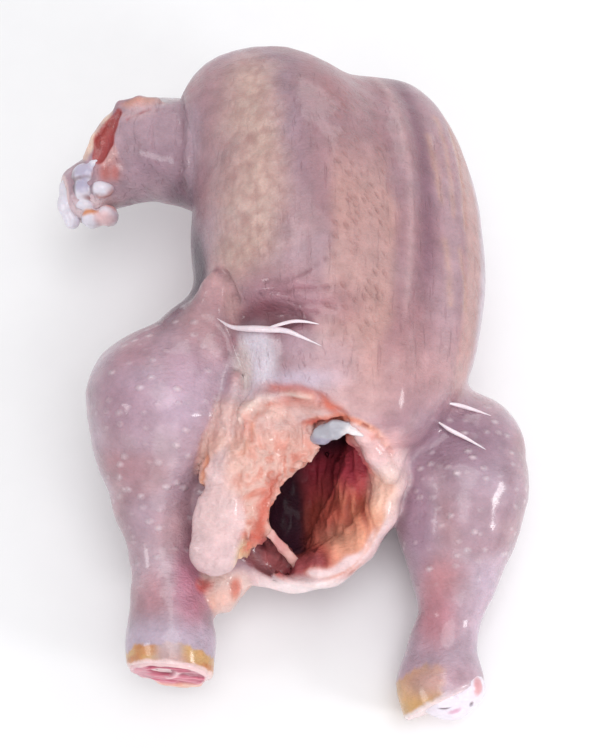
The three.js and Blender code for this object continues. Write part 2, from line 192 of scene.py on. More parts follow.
OPENING = {"at": (16, -66, 60), "half": (29, 34, 42), "pitch": 2, "roll": 19}
THIGH_RIGHT = {"hip": (-35, -57.5, -13), "hip_radius": 31.5, "knee": [-30, -4, 60, 26]}
THIGH_LEFT = {"hip": (31.5, -57.5, -13), "hip_radius": 29, "knee": [73, -34, 34, 24]}
LEG_RIGHT = [[-35.5, -4, 65.5, 23], [-51, -24.5, 62, 31.5], [-54, -41, 54.5, 25],
             [-54, -63, 45, 17], [-52, -80, 40.5, 12], [-49, -101.5, 36, 14],
             [-47.5, -117.5, 34, 17], [-46.5, -141.5, 32, 17]]
LEG_LEFT = [[82, -34, 36, 21.5], [77, -49, 34, 27.4], [74, -68.5, 30, 24.5], [72, -89, 25.5, 17],
            [69.5, -106.5, 22, 11.5], [66, -120, 19, 13], [65, -134, 18, 17], [67.5, -152, 18, 17]]
WING_RIGHT = [[-34.5, 91.5, 69.5, 26], [-55.5, 98, 65.5, 21.5], [-72, 101, 60, 19.5],
              [-78, 93, 58, 16.5]]
ELBOW_RIGHT = [[-82.5, 87, 58, 13], [-93, 81.5, 54.5, 13]]
WING_LEFT = [[47, 104.5, 35.5, 23.5], [64, 72, 22, 20], [71, 50, 16, 16.5]]
ELBOW_LEFT = [[72.5, 43, 15, 13.5], [73.5, 33, 14.5, 13.5]]
TAIL = [[14, -54, 21, 18.5], [-19.5, -84, 30, 8.5], [-29, -94.5, 30, 11]]
GROIN = [[-20, -30, 56, 18], [-28, -58, 48, 14], [-27, -80, 40, 10]]
GROIN_PIT = {"at": (-10, -2, 108), "half": (15, 5.5, 9), "yaw": -12}
KNEE_FOLD = [[-35, 8, 84, 5], [-29.5, 15.5, 92, 4], [-28, 19, 96.5, 1.4]]
CREASE_FAT = [[-20.5, -22, 82, 4], [-22, -34, 79.5, 5], [-25.5, -46, 75, 5.5], [-30, -58, 70, 5]]
BELLY_CUP = [[20.5, -30, 37, 37], [9.5, -57.5, 36, 33], [8, -65.5, 39.5, 30.5]]
PASSAGE = [[14, -50, 50, 15], [18, -6, 50, 20]]
CLEFT = [[14, -36, 34, 9], [4.5, -52, 28, 8], [1, -68.5, 24, 7]]
LOW_POCKET = [[-13, -84, 58, 4.5], [-10.5, -84, 46, 5.5], [-2, -87, 38, 6]]
RIM = [[29, -39, 66, 4.5], [40.5, -45, 60, 7.5], [43.5, -54.5, 52, 6], [39.5, -66.5, 45, 7],
       [30.5, -78, 40, 7.2], [17.5, -87, 36, 7.2], [2, -90.5, 33, 6.4], [-10, -90, 34, 5]]
BELLY_LUMP = [[-10, -82.5, 31, 6.5], [-4, -82, 29, 7]]
BELLY_SKIN = {"stations": [[2, -28, 75, 15], [-3, -42, 76.5, 17], [-12, -57, 73, 12],
                           [-17.5, -72, 65.5, 11.4], [-22.5, -83, 56, 7.5]],
              "facing": (0.42, -0.475, 0.927), "flatness": 0.38, "width": 6}
BELLY_TAB = {**BELLY_SKIN, "width": 4,
             "stations": [[-2, -43, 79, 9], [4, -46, 77.5, 8], [8.5, -49.5, 76, 5]]}
FAT_TONGUE = {"stations": [[-20, -42, 79, 4], [-23, -58, 75, 5.5], [-27, -74, 67.5, 8.6],
                           [-28.5, -87, 60, 10.2]],
              "facing": (-0.1, -0.575, 0.927), "flatness": 0.5, "width": 6}
KEEL_RIDGES = [(0, 0.9, 4.2), (11, -1.5, 8.2), (24, 0.6, 6.5), (-11, -0.7, 8.4)]
RIM_LIP = [[27, -40, 82, 2.6], [32, -43.5, 76, 3.6], [36, -48.5, 68.5, 4], [43, -55, 61, 3.4]]
WALL_SWELL = [[35, -40, 44, 8], [33, -52, 36, 11], [28, -66, 30, 11], [17, -79, 27, 8]]
WING_FOLDS = [[[-73, 111, 78, 2.6], [-79, 105, 77.5, 2.6], [-85, 97, 74.5, 2.5], [-89, 91, 70, 2]],
              [[-73, 110, 81.5, 3.4], [-65, 109.5, 85, 3.4], [-57.5, 108.5, 87.3, 2.6]],
              [[-70.5, 104, 80.5, 3], [-71.5, 97, 79, 3], [-76, 90, 76, 2.6], [-80.5, 87, 73, 2]]]
WING_ROOT_RIGHT = -24
WING_POCKET = [[-75, 106, 83, 1.2], [-78.5, 99, 81, 3.2], [-81, 94.5, 79, 4.2], [-84, 88.5, 76, 3]]
SHANK_CUT_RIGHT = {"at": (-47, -131, 34), "facing": (-0.095, -0.985, 0.085)}
SHANK_CUT_LEFT = {"at": (69.7, -139.8, 15.5), "facing": (0.4, -0.91, 0.02)}
ELBOW_CUT_RIGHT = {"at": (-101.6, 77.8, 56.2), "facing": (-0.93, -0.25, 0.27)}
WING_CORNER = {"at": (-81.5, 106, 79.6), "facing": (-0.875, 0.449, 0.181)}
ELBOW_CUT_LEFT = {"at": (74, 28, 14), "facing": (0.1, -0.99, -0.05)}
CUT_REACH = 30
CUT_DEPTH = 8
CUT_ROUND = 2.2
GRID_LOW = (-112, -158, -4)
GRID_HIGH = (112, 156, 130)
FINE_LOW = (-42, -103, 16)
FINE_HIGH = (54, -27, 96)
FINE_CELL = 2.0
WIDE_CELL = 4.5
WING_CELL = 1.7
CHEST_SKIN = 1.5
FINEST_BELLY = {"low": (-40, -105, 22), "high": (52, -28, np.inf)}
FINEST_GROIN = {"at": (-4, 4, 100), "half": (30, 20, 22)}
CUFF_REACH = 16
SKIP = 4
NEAR = 12.0
BATCHES = 12
SLOPE_STEP = 0.3
SETTLE_ROUNDS = 3
SETTLE_REACH = 1.5


def turn(yaw=0, pitch=0, roll=0):
    """Matrix of a turn about y by roll, then about x by pitch, then about z by yaw, in degrees."""
    z, x, y = np.radians((yaw, pitch, roll))
    about_z = np.array([[np.cos(z), -np.sin(z), 0], [np.sin(z), np.cos(z), 0], [0, 0, 1]])
    about_x = np.array([[1, 0, 0], [0, np.cos(x), -np.sin(x)], [0, np.sin(x), np.cos(x)]])
    about_y = np.array([[np.cos(y), 0, np.sin(y)], [0, 1, 0], [-np.sin(y), 0, np.cos(y)]])
    return about_z @ about_x @ about_y


def unit(way):
    """The direction with a length of one."""
    return np.asarray(way, float) / np.linalg.norm(way)


def step(x, low, high):
    """Rises from 0 at low to 1 at high along a smooth S, 3t^2 - 2t^3."""
    t = np.clip((x - low) / (high - low), 0, 1)
    return t * t * (3 - 2 * t)


def fall(x, low, high):
    """Falls from 1 at low to 0 at high along the same S."""
    return 1 - step(x, low, high)


def blend(a, b, width):
    """The lesser of two distances, less a parabola where they differ by under the width."""
    h = np.maximum(width - np.abs(a - b), 0) / width
    return np.minimum(a, b) - h * h * width / 4


def join(d, *others):
    """Blends other distances into one in turn, each given with the width it blends over."""
    for other, width in others:
        d = blend(d, other, width)
    return d


def carve(a, b, width):
    """The greater of a and minus b, rounded in the same way: b is cut out of a."""
    return -blend(-a, b, width)


def ellipsoid(p, at, half, **turned):
    """k(k - 1)/g for the place q seen from the centre along the ellipsoid's axes, with k the
    length of q over the half widths and g that of q over their squares."""
    q = p - np.asarray(at, float)
    if turned:
        q = q @ turn(**turned)
    half = np.asarray(half, float)
    near = np.linalg.norm(q / half, axis=-1)
    return near * (near - 1) / np.maximum(np.linalg.norm(q / half ** 2, axis=-1), 1e-9)


def limb(p, stations, width):
    """A chain of round-ended cones: distance to each stretch's line less its radius there."""
    distance = None
    for start, end in zip(stations[:-1], stations[1:]):
        a = np.array(start[:3], float)
        along = np.array(end[:3], float) - a
        t = np.clip((p - a) @ along / (along @ along), 0, 1)
        stretch = np.linalg.norm(p - a - t[..., None] * along, axis=-1)
        stretch = stretch - (start[3] + (end[3] - start[3]) * t)
        distance = stretch if distance is None else blend(distance, stretch, width)
    return distance


def sheet(p, stations, facing, flatness, width):
    """A limb pressed to a share of its thickness along the way that it faces."""
    normal = unit(facing)
    swell = 1 / flatness - 1
    places = np.array(stations, float)
    places[:, :3] += swell * (places[:, :3] @ normal)[:, None] * normal
    return limb(p + swell * (p @ normal)[..., None] * normal, places, width) * flatness ** 0.5


def in_body(p):
    """Places in the body's own frame: x across, y to the neck, z to the breast."""
    return (p - BODY_CENTRE) @ turn(**BODY_TURN)


def from_body(place_in_body, radius):
    """A station given in the body's own frame, as one in the part's frame."""
    return [*(BODY_CENTRE + turn(**BODY_TURN) @ np.array(place_in_body, float)), radius]


def across_keel(q):
    """Millimetres across the breast from the keel, which runs a little slantwise."""
    return q[..., 0] - 1.9 - 0.08 * q[..., 1]


def torso(p):
    """Ribs, pelvis, breasts, shoulders, neck skin and upper belly run together, less the keel's
    ridges: each a bell across the keel, faded out to the sides and at both ends."""
    q = in_body(p)
    d = join(ellipsoid(q, **RIBS), (ellipsoid(q, **PELVIS), 24),
             (ellipsoid(q, **BREAST_RIGHT), 22), (ellipsoid(q, **SHOULDER_RIGHT), 17),
             (ellipsoid(q, **BREAST_LEFT), 22), (ellipsoid(q, **SHOULDER_LEFT), 17),
             (ellipsoid(p, **NECK_SKIN), 20), (ellipsoid(q, **UPPER_BELLY), 17))
    fade = step(q[..., 2], 9, 37) * step(q[..., 1], -88, -56) * fall(q[..., 1], 56, 88)
    x = across_keel(q)
    for at, height, width in KEEL_RIDGES:
        d = d - fade * height * np.exp(-((x - at) / width) ** 2)
    return d


def leg(p, stations, hip, hip_radius, knee):
    """A thigh from the hip to the knee, run into the drumstick."""
    return blend(limb(p, [from_body(hip, hip_radius), knee], 11), limb(p, stations, 6.5), 7.5)


def beyond(p, cut):
    """Distance past a cut's plane, positive on the side that falls away."""
    return (p - np.array(cut["at"], float)) @ unit(cut["facing"])


def hollow(p):
    """The empty chest, the passage to it, the belly's opening and the cleft at its low end."""
    return join(ellipsoid(in_body(p), **CHEST), (limb(p, PASSAGE, 6), 8),
                (ellipsoid(p, **OPENING), 8), (limb(p, CLEFT, 6), 5))


def bird(p):
    """The whole bird but its wings, negative inside the meat: trunk, legs, back, belly cup and
    tail run together, then the hollow carved out and its walls, rim and skins run on, then the
    groin's pit, the flat that it rests on and the shanks' cuts carved off."""
    hug = 2.5 + 10.5 * step(p[..., 1], -6, 14)
    d = join(torso(p), (limb(p, GROIN, 6), 9), (leg(p, LEG_RIGHT, **THIGH_RIGHT), hug),
             (limb(p, KNEE_FOLD, 4), 5), (leg(p, LEG_LEFT, **THIGH_LEFT), 7.5),
             (ellipsoid(p, **BACK), 15), (limb(p, BELLY_CUP, 11), 4.5), (limb(p, TAIL, 7.5), 7.5))
    d = join(carve(d, hollow(p), 3), (limb(p, WALL_SWELL, 7), 9), (limb(p, RIM, 5), 4))
    d = join(carve(d, limb(p, LOW_POCKET, 4), 3), (limb(p, RIM_LIP, 3), 4),
             (limb(p, BELLY_LUMP, 5), 3), (sheet(p, **BELLY_SKIN), 8), (limb(p, CREASE_FAT, 5), 2),
             (sheet(p, **BELLY_TAB), 2), (sheet(p, **FAT_TONGUE), 2.5),
             (limb(p, [from_body(*station) for station in NAPE], 7.5), 13))
    d = carve(carve(d, ellipsoid(p, **GROIN_PIT), 4), p[..., 2], 4)
    for cut in (SHANK_CUT_RIGHT, SHANK_CUT_LEFT):
        h = beyond(p, cut)
        axis = np.array(cut["at"]) + h[..., None] * unit(cut["facing"])
        close = (np.linalg.norm(p - axis, axis=-1) < CUT_REACH) & (h > -CUT_DEPTH)
        d = np.where(close, carve(d, -h, CUT_ROUND), d)
    return d


def upper_wing(p, wing, elbow):
    """An upper wing's limb, run into its elbow."""
    return blend(limb(p, wing, 9.5), limb(p, elbow, 4), 4)


def wing_right(p):
    """The right upper wing: its limb with the torn corner cut off, run into the elbow and the
    curled edges of skin, then the pocket of meat, the elbow's end and the root carved off."""
    d = carve(limb(p, WING_RIGHT, 9.5), -beyond(p, WING_CORNER), 4)
    d = join(d, (limb(p, ELBOW_RIGHT, 4), 4), *((limb(p, fold, 2), 2.2) for fold in WING_FOLDS))
    d = carve(d, limb(p, WING_POCKET, 2), 1.2)
    return carve(carve(d, -beyond(p, ELBOW_CUT_RIGHT), CUT_ROUND), WING_ROOT_RIGHT - p[..., 0], 2)


def wing_left(p):
    """The left upper wing, which lies under the bird's side, less its elbow's end and a flat."""
    d = upper_wing(p, WING_LEFT, ELBOW_LEFT)
    return carve(carve(d, -beyond(p, ELBOW_CUT_LEFT), CUT_ROUND), p[..., 2], 4)


def grid_lines(low, high, fine_low, fine_high):
    """Places of the grid's lines along one axis: close between the fine limits, wide outside."""
    return np.concatenate([np.arange(low, fine_low, WIDE_CELL),
                           np.arange(fine_low, fine_high, FINE_CELL),
                           np.arange(fine_high, high + WIDE_CELL, WIDE_CELL)])


def sample(field, lines):
    """Field values on the grid. Every fourth node comes first, and only the nodes near the
    surface are then worked out themselves, in batches: the rest take the nearest first value."""
    coarse = field(np.stack(np.meshgrid(*[line[::SKIP] for line in lines], indexing="ij"), -1))
    nearest = [np.minimum((np.arange(len(line)) + SKIP // 2) // SKIP, size - 1)
               for line, size in zip(lines, coarse.shape)]
    values = coarse[np.ix_(*nearest)]
    spots = np.nonzero(np.abs(values) < NEAR)
    points = np.stack([line[spot] for line, spot in zip(lines, spots)], 1)
    values[spots] = np.concatenate([field(part) for part in np.array_split(points, BATCHES)])
    return values


def lay_net(field, lines):
    """Surface net: in each grid cell that the surface passes through, one vertex at the mean of
    the crossings of the cell's edges, and round each crossed edge one face of four vertices."""
    values = sample(field, lines)
    sizes = np.array(values.shape)
    inside = values < 0
    stride = np.array([sizes[1] * sizes[2], sizes[2], 1])
    faces, spots = [], []
    for a in range(3):
        b, c = (a + 1) % 3, (a + 2) % 3
        before = tuple(slice(0, -1) if i == a else slice(None) for i in range(3))
        after = tuple(slice(1, None) if i == a else slice(None) for i in range(3))
        edges = np.argwhere(inside[before] != inside[after])
        at = edges @ stride
        start, end = values.ravel()[at], values.ravel()[at + stride[a]]
        spot = edges.astype(float)
        spot[:, a] += start / (start - end)
        face = np.stack([at, at - stride[b], at - stride[b] - stride[c], at - stride[c]], 1)
        face[start > 0] = face[start > 0][:, ::-1]
        faces.append(face)
        spots.append(np.repeat(spot, 4, 0))
    faces, spots = np.concatenate(faces), np.concatenate(spots)
    cells, owner = np.unique(faces.ravel(), return_inverse=True)
    crossings = np.bincount(owner)
    places = [np.bincount(owner, spots[:, i]) / crossings for i in range(3)]
    places = [np.interp(place, np.arange(len(line)), line) for place, line in zip(places, lines)]
    return np.stack(places, 1), np.searchsorted(cells, faces)


def slope(field, p):
    """The field's slope at each point, by its change over a short step each way."""
    change = [field(p + way) - field(p - way) for way in np.eye(3) * SLOPE_STEP]
    return np.stack(change, 1) / (2 * SLOPE_STEP)


def normals(field, p):
    """The field's slope at each point, with a length of one."""
    way = slope(field, p)
    return way / np.maximum(np.linalg.norm(way, axis=1, keepdims=True), 1e-6)


def settle(field, p):
    """Slides points along the slope until they lie where the field is zero."""
    for _ in range(SETTLE_ROUNDS):
        way = slope(field, p)
        steep = np.maximum(np.sum(way * way, 1, keepdims=True), 0.05)
        move = way * field(p)[:, None] / steep
        reach = np.maximum(np.linalg.norm(move, axis=1, keepdims=True) / SETTLE_REACH, 1)
        p = p - move / reach
    return p


def relax(p, faces, share):
    """Moves each vertex a share of the way to the mean of the vertices it is joined to."""
    ends = np.concatenate([faces[:, [i, (i + 1) % faces.shape[1]]] for i in range(faces.shape[1])])
    count = np.bincount(ends[:, 0], minlength=len(p))[:, None]
    total = np.stack([np.bincount(ends[:, 0], p[ends[:, 1], i], minlength=len(p))
                      for i in range(3)], 1)
    return p + share * (total / count - p)


LATTICE_SIDE = 32
LATTICE = np.random.default_rng(7).random((LATTICE_SIDE,) * 3)


def rough(p, size):
    """Smooth noise from -1 to 1: a seeded lattice, run between its nodes along an S curve."""
    q = p / np.asarray(size, float)
    low = np.floor(q).astype(int)
    t = step(q - low, 0, 1)
    value = 0
    for corner in np.ndindex(2, 2, 2):
        weight = np.prod(np.where(corner, t, 1 - t), axis=-1)
        i, j, k = np.moveaxis((low + corner) % LATTICE_SIDE, -1, 0)
        value = value + weight * LATTICE[i, j, k]
    return 2 * value - 1


def creases(p, size):
    """Sharp valleys between round swells: one less twice the root of the noise's height."""
    return 1 - 2 * np.sqrt(np.abs(rough(p, size)))


def near_line(p, line):
    """Distance to a line of straight stretches."""
    return limb(p, [[*place, 0] for place in line], 0.01)


def band(distance, width):
    """One on the line, and down to nothing about twice the width away."""
    return np.exp(-(distance / width) ** 2)


def spot(p, at, half, soft):
    """One well inside an ellipsoid, and down to nothing past its edge: the soft share of its
    size on both sides of the edge is where it falls."""
    reach = np.linalg.norm((p - np.array(at, float)) / np.array(half, float), axis=-1)
    return fall(reach, 1 - soft, 1 + soft)


def plain_tone(paint, count):
    """One paint's light, once for each point."""
    return np.tile(np.array(light_of(paint)[:3]), (count, 1))


def paint_over(tone, *coats):
    """Lays paints over the tones one after another, each by its share at each point."""
    for paint, share in coats:
        light = np.array(light_of(paint)[:3])
        tone = tone + (light - tone) * np.clip(share, 0, 1)[:, None]
    return tone


def make_piece(name, p, faces, attributes, material, replaced=None):
    """A smooth mesh piece in metres, riding on the bird, with its attributes of three or four
    channels, where a missing fourth is one."""
    mesh = bpy.data.meshes.new(name)
    mesh.from_pydata((p * MM).tolist(), [], faces.tolist())
    mesh.shade_smooth()
    for key, values in attributes.items():
        values = np.column_stack([values, np.ones((len(p), 4 - values.shape[1]))])
        layer = mesh.color_attributes.new(key, "FLOAT_COLOR", "POINT")
        layer.data.foreach_set("color", values.astype(np.float32).ravel())
    mesh.materials.append(material)
    piece = bpy.data.objects.new(name, mesh)
    bpy.context.scene.collection.objects.link(piece)
    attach(piece, "root")
    if replaced is not None:
        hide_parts(replaced)


# Folds and creases of the skin: each one's width and height in millimetres, where a negative
# height is a groove, its paint, the share that the paint covers, and the line that it follows.
MARKS = [
    # along the upper edge of the belly's flap
    (1.9, -1.6, (198, 88, 60), 0.95,
     [(-12, -28, 90), (-2, -29, 92), (6, -30.5, 93.5), (13, -33, 92.5), (20, -37, 89),
      (24, -40, 86)]),
    (1.8, -1.6, (192, 86, 58), 0.95,
     [(-19, -46, 86), (-15, -40, 89), (-8, -35.5, 90), (-2, -34, 90), (6, -34, 90.5),
      (12, -34.5, 91)]),
    (1.1, -1.3, (206, 110, 76), 0.7,
     [(-6, -42, 87), (0, -39, 88), (8, -38.5, 88), (13, -40, 86)]),
    (1.6, 0.9, (240, 214, 204), 0.6,
     [(-18, -39, 86), (-10, -32, 90), (0, -31.5, 92), (10, -33, 92)]),
    (1.2, -1.0, (214, 124, 88), 0.6,
     [(-16, -52, 83), (-14, -46, 85), (-13, -40, 88)]),
    # the knee's fold, the groin's wrinkles, a painted shadow in the groin's pit and a painted
    # shadow along the crease beside the thigh
    (1.5, -1.8, (112, 66, 82), 0.75,
     [(-28, 21, 97), (-25, 18, 100), (-22, 12, 101), (-19, 5, 100)]),
    (0.7, -0.5, (118, 74, 84), 0.5,
     [(-9, 9, 110), (2, 8, 114), (8, 11, 115.5), (13, 14, 116), (22, 19, 116)]),
    (0.9, -0.7, (126, 74, 86), 0.55,
     [(-10, 5, 108.5), (-2, 4, 111), (8, 4, 113), (16, 5, 112.5)]),
    (0.9, -0.7, (130, 78, 90), 0.5,
     [(-9, 1.5, 107), (0, 0, 109.5), (10, -1, 111), (20, -2, 110)]),
    (0.9, -0.7, (130, 78, 90), 0.5,
     [(-7, -2, 106), (2, -3, 108.5), (12, -5, 109.5)]),
    # painted shadow in the groin's pit along the drawn edge of skin, over a shallow groove
    (3.4, -1.2, (112, 58, 72), 0.75,
     [(-17, -1, 97), (-11, -4.5, 102), (-3, -6.5, 105.5), (6, -7, 108)]),
    (0.8, -0.7, (96, 54, 72), 0.6,
     [(-10, 6, 107), (-9, 1, 106), (-8, -4, 104)]),
    # painted shadow along the crease beside the thigh, with no groove of its own
    (2.2, 0, (176, 108, 120), 0.6,
     [(-22, -8, 90), (-19.5, -16, 88), (-19.5, -24, 84), (-21.5, -33, 80), (-24, -42, 75),
      (-28, -52, 71)]),
    # the wing's root and torn edge
    (1.8, -1.6, (128, 92, 106), 0.7,
     [(-47, 110, 89), (-45, 98, 91.5), (-44.5, 86, 92), (-45.5, 76, 86), (-44, 70, 76)]),
    (0.9, -0.8, (170, 50, 48), 0.8,
     [(-72.5, 113, 80), (-73.5, 107, 81.5), (-74.5, 101, 81), (-78, 94, 79)]),
    (1.0, -1.2, (168, 74, 78), 0.7,
     [(-70, 101, 84), (-65, 102.5, 85.5), (-60, 104, 87)]),
    # beside the fat tongue, down the flap's free edge and on the rim
    (1.6, -0.6, (216, 132, 92), 0.75,
     [(-31, -52, 76), (-32, -58, 74), (-33.5, -66, 70)]),
    (3.2, 0, (202, 96, 76), 0.9,
     [(-4, -62, 73), (-8, -70, 69), (-10.5, -78, 63), (-15, -86, 56)]),
    (1.4, -0.8, (206, 120, 100), 0.6,
     [(24, -40, 85), (29, -42.5, 81), (36, -44.5, 78)]),
]
# Pale streaks down the breast's left side, alike but for their lines.
STREAK = (1.3, -0.4, (216, 172, 140), 0.3)
STREAK_LINES = [
    [(65.9, 100.4, 87.5), (69.1, 81.8, 90.9), (70.6, 63.6, 92.2), (71.2, 49.2, 91.9)],
    [(72.6, 97.7, 82.1), (75.3, 80.4, 85.1), (76.3, 61.8, 87), (76.2, 45.7, 87)],
    [(61.4, 88.4, 92.4), (64, 72.3, 94), (65.3, 55, 94.4)],
    [(72.8, 34, 89.3), (74.9, 22.3, 84.8), (75.2, 10.6, 80.4)],
    [(65.8, 36.7, 93), (67.6, 24.1, 90.5), (68.2, 9.9, 86.7)],
]
MARKS += [(*STREAK, line) for line in STREAK_LINES]

# Clouds of paint: each one's place, half widths, the share over which it fades, its paint and the
# share that it covers. The first are laid under the belly's own paint, the last over it.
CLOUDS_UNDER = [
    # the groin with painted shade in its pit, the foot of the breast and, in one place, painted
    # shade on the flank under the right wing
    ((2, 0, 109), (24, 10, 10), 0.6, (160, 112, 126), 0.7),
    # painted shade deep in the groin's pit
    ((-12, -3, 102), (11, 7, 8), 0.6, (112, 46, 60), 0.86),
    ((-29, 17, 95), (7, 9, 7), 0.5, (200, 152, 156), 0.5),
    ((-22, 4, 97), (5, 8, 7), 0.6, (206, 158, 156), 0.7),
    ((-12, -17, 94), (10, 13, 12), 0.4, (226, 216, 228), 0.9),
    # painted shade on the flank under the right wing
    ((-47, 67, 74), (8, 9, 14), 0.7, (98, 66, 84), 0.8),
    ((-17, -22, 88), (4, 14, 8), 0.5, (224, 206, 200), 0.7),
    ((4, -15, 103), (7, 6, 6), 0.7, (172, 142, 158), 0.6),
    ((14, -22, 102), (14, 11, 9), 0.7, (190, 158, 168), 0.7),
    ((6, -27, 95), (16, 4, 6), 0.7, (206, 194, 214), 0.6),
    ((-13, -31, 88), (9, 6, 6), 0.7, (214, 200, 214), 0.7),
    ((30, -34, 92), (14, 9, 9), 0.7, (212, 168, 168), 0.6),
    # the right shank
    ((-38, -98, 48), (7, 15, 12), 0.6, (192, 116, 142), 0.6),
    ((-54, -90, 52), (8, 10, 10), 0.8, (206, 180, 190), 0.4),
    ((-53, -101, 48), (4, 8, 7), 0.8, (196, 132, 142), 0.5),
    ((-45, -78, 60), (7, 9, 8), 0.8, (206, 160, 166), 0.5),
    ((-30, -80, 50), (7, 16, 10), 0.7, (186, 122, 142), 0.5),
    # the left leg
    ((62, -107, 34), (8, 13, 10), 0.7, (186, 112, 122), 0.7),
    ((66, -92, 40), (8, 8, 9), 0.8, (190, 116, 118), 0.6),
    ((84, -100, 32), (8, 20, 14), 0.7, (206, 184, 204), 0.5),
    ((55, -70, 48), (6, 22, 16), 0.7, (148, 110, 138), 0.5),
    ((64, -134, 30), (15, 7, 14), 0.6, (186, 146, 158), 0.7),
    # painted shade in the dark gap between the knee and the flank
    ((-45, 31, 79), (12, 26, 20), 0.6, (84, 54, 74), 0.92),
    ((-37, 27, 84), (5, 15, 9), 0.5, (62, 36, 56), 0.9),
    # the right thigh and knee
    ((-66, -34, 92), (14, 14, 10), 0.8, (172, 132, 152), 0.5),
    ((-40, -28, 93), (10, 22, 10), 0.8, (196, 166, 188), 0.5),
    ((-62, -12, 88), (9, 9, 9), 0.8, (178, 128, 140), 0.5),
    ((-34, 2, 90), (9, 10, 8), 0.8, (186, 140, 142), 0.5),
    # the right wing's end and sides
    ((-79, 83, 74), (5.5, 6, 6), 0.7, (208, 138, 134), 0.7),
    ((-80.5, 82, 72), (2.2, 3.4, 3), 0.8, (186, 86, 76), 0.6),
    ((-76, 81, 73), (1.6, 3, 3), 0.6, (196, 90, 80), 0.5),
    ((-86, 68, 58), (15, 8, 12), 0.6, (228, 206, 210), 0.8),
    ((-65, 108.5, 88), (10, 2.4, 4), 0.5, (206, 146, 128), 0.8),
    ((-64, 104, 86), (8, 4, 5), 0.6, (220, 186, 192), 0.7),
    ((-54, 114, 84), (8, 7, 8), 0.7, (190, 186, 188), 0.6),
    ((-56, 80, 80), (14, 6, 14), 0.7, (150, 116, 134), 0.5),
    # the head of the fat tongue
    ((-22, -67, 73), (4, 4, 5), 0.5, (228, 158, 124), 0.7),
]
CLOUDS_OVER = [
    # the belly's flap, and the left thigh beside it
    ((-17, -87, 57), (4.5, 7, 6), 0.5, (240, 214, 170), 0.7),
    ((2, -47, 79), (12, 6, 8), 0.7, (222, 160, 148), 0.5),
    ((2, -36.5, 88), (20, 4.5, 5), 0.5, (226, 184, 172), 0.5),
    ((72, -38, 60), (18, 16, 16), 0.7, (140, 106, 126), 0.8),
    # the rim, then the tail
    ((36, -46, 72), (12, 7, 10), 0.5, (228, 178, 178), 0.7),
    ((41, -58, 54), (6, 11, 12), 0.6, (242, 200, 182), 0.75),
    ((10, -98, 38), (25, 5, 9), 0.5, (246, 230, 232), 0.75),
    ((-34, -97, 42), (4, 3, 3.5), 0.5, (196, 84, 74), 0.8),
    ((-20.5, -97, 38), (2.6, 4, 5), 0.5, (206, 96, 70), 0.75),
    ((-28, -101, 37), (6, 4, 5), 0.6, (226, 166, 150), 0.5),
]
WALL_AXIS = (16, -66)


def masks(p, normal):
    """Shares from 0 to 1 of each kind of surface at every point: one close to the form that it
    belongs to, down to nothing along an S some millimetres off it. The wall is the hollow's
    surface less the fat and the rim, save where the rim faces the middle of the opening."""
    q = in_body(p)
    flap = np.minimum.reduce([sheet(p, **BELLY_SKIN), sheet(p, **BELLY_TAB),
                              limb(p, CREASE_FAT, 5) + 0.5])
    lip = limb(p, RIM_LIP, 3)
    where = {
        "across": across_keel(q),
        "along": q[:, 1],
        "breast": step(q[:, 2], 0, 26) * step(q[:, 1], -84, -58),
        "flap": fall(flap, 0.5, 4) * step(-p[:, 1], 26, 36),
        "tongue": fall(sheet(p, **FAT_TONGUE), 0.3, 2),
        "rim": fall(np.minimum(limb(p, RIM, 5), lip), 0.4, 4),
        "lump": fall(limb(p, BELLY_LUMP, 5), 0.3, 1.5),
        "tail": fall(limb(p, TAIL[1:], 7.5), 0.5, 4),
        "leg_right": fall(limb(p, LEG_RIGHT, 6.5), 1, 7),
        "leg_left": fall(limb(p, LEG_LEFT, 6.5), 1, 9),
        "wing_right": fall(upper_wing(p, WING_RIGHT, ELBOW_RIGHT), 0.5, 5),
        "wing_left": fall(upper_wing(p, WING_LEFT, ELBOW_LEFT), 0.5, 5),
        "cut": np.zeros(len(p)),
    }
    for other in ("flap", "tongue", "tail"):
        where["leg_right"] = where["leg_right"] * (1 - where[other])
    where["wing_end"] = where["wing_right"] * fall(p[:, 0], -72, -64)
    for cut in (SHANK_CUT_RIGHT, SHANK_CUT_LEFT, ELBOW_CUT_RIGHT, ELBOW_CUT_LEFT):
        facing = step(normal @ unit(cut["facing"]), 0.75, 0.95)
        close = step(beyond(p, cut), -1.6, -0.4)
        aside = np.linalg.norm(p - np.array(cut["at"]), axis=1) < CUT_REACH
        where["cut"] = np.maximum(where["cut"], facing * close * aside)
    outward = p[:, :2] - np.array(WALL_AXIS)
    outward = outward / np.maximum(np.linalg.norm(outward, axis=1, keepdims=True), 1)
    front = -0.3 * step(-p[:, 1], 58, 80)
    inner = step(-np.sum(normal[:, :2] * outward, 1) + 0.15 * rough(p, 6) - front, -0.3, 0.15)
    inner = inner * step(lip, 0.4, 2)
    fat = np.maximum(where["flap"], where["tongue"])
    where["wall"] = fall(hollow(p), 0.4, 3.0) * (1 - fat) * (1 - where["rim"] * (1 - inner))
    where["legs"] = np.maximum(where["leg_right"], where["leg_left"])
    return where


def shift(p, reach, size):
    """Places shifted by up to the reach each way, by noise of a size."""
    return p + reach * np.stack([rough(p, size), rough(p + 50, size), rough(p + 90, size)], 1)


def wall_folds(p):
    """The folds of the opening's wall, wide ones and fine ones, running down from its rim."""
    bent = shift(p, 2.2, 11)
    return creases(bent, (3, 15, 4.4)), creases(bent + 30, (1.6, 8, 2.4))


def fat_folds(p):
    """The crinkles of the belly's fat skin, wide ones and ones half as wide."""
    bent = shift(p, 1.8, 8)
    return creases(bent, (4.6, 9, 7)), creases(bent + 40, (2.3, 4.6, 3.4))


def waver(p):
    """Places shifted a little, so that lines drawn at them waver."""
    return shift(p, 0.9, 4.5)


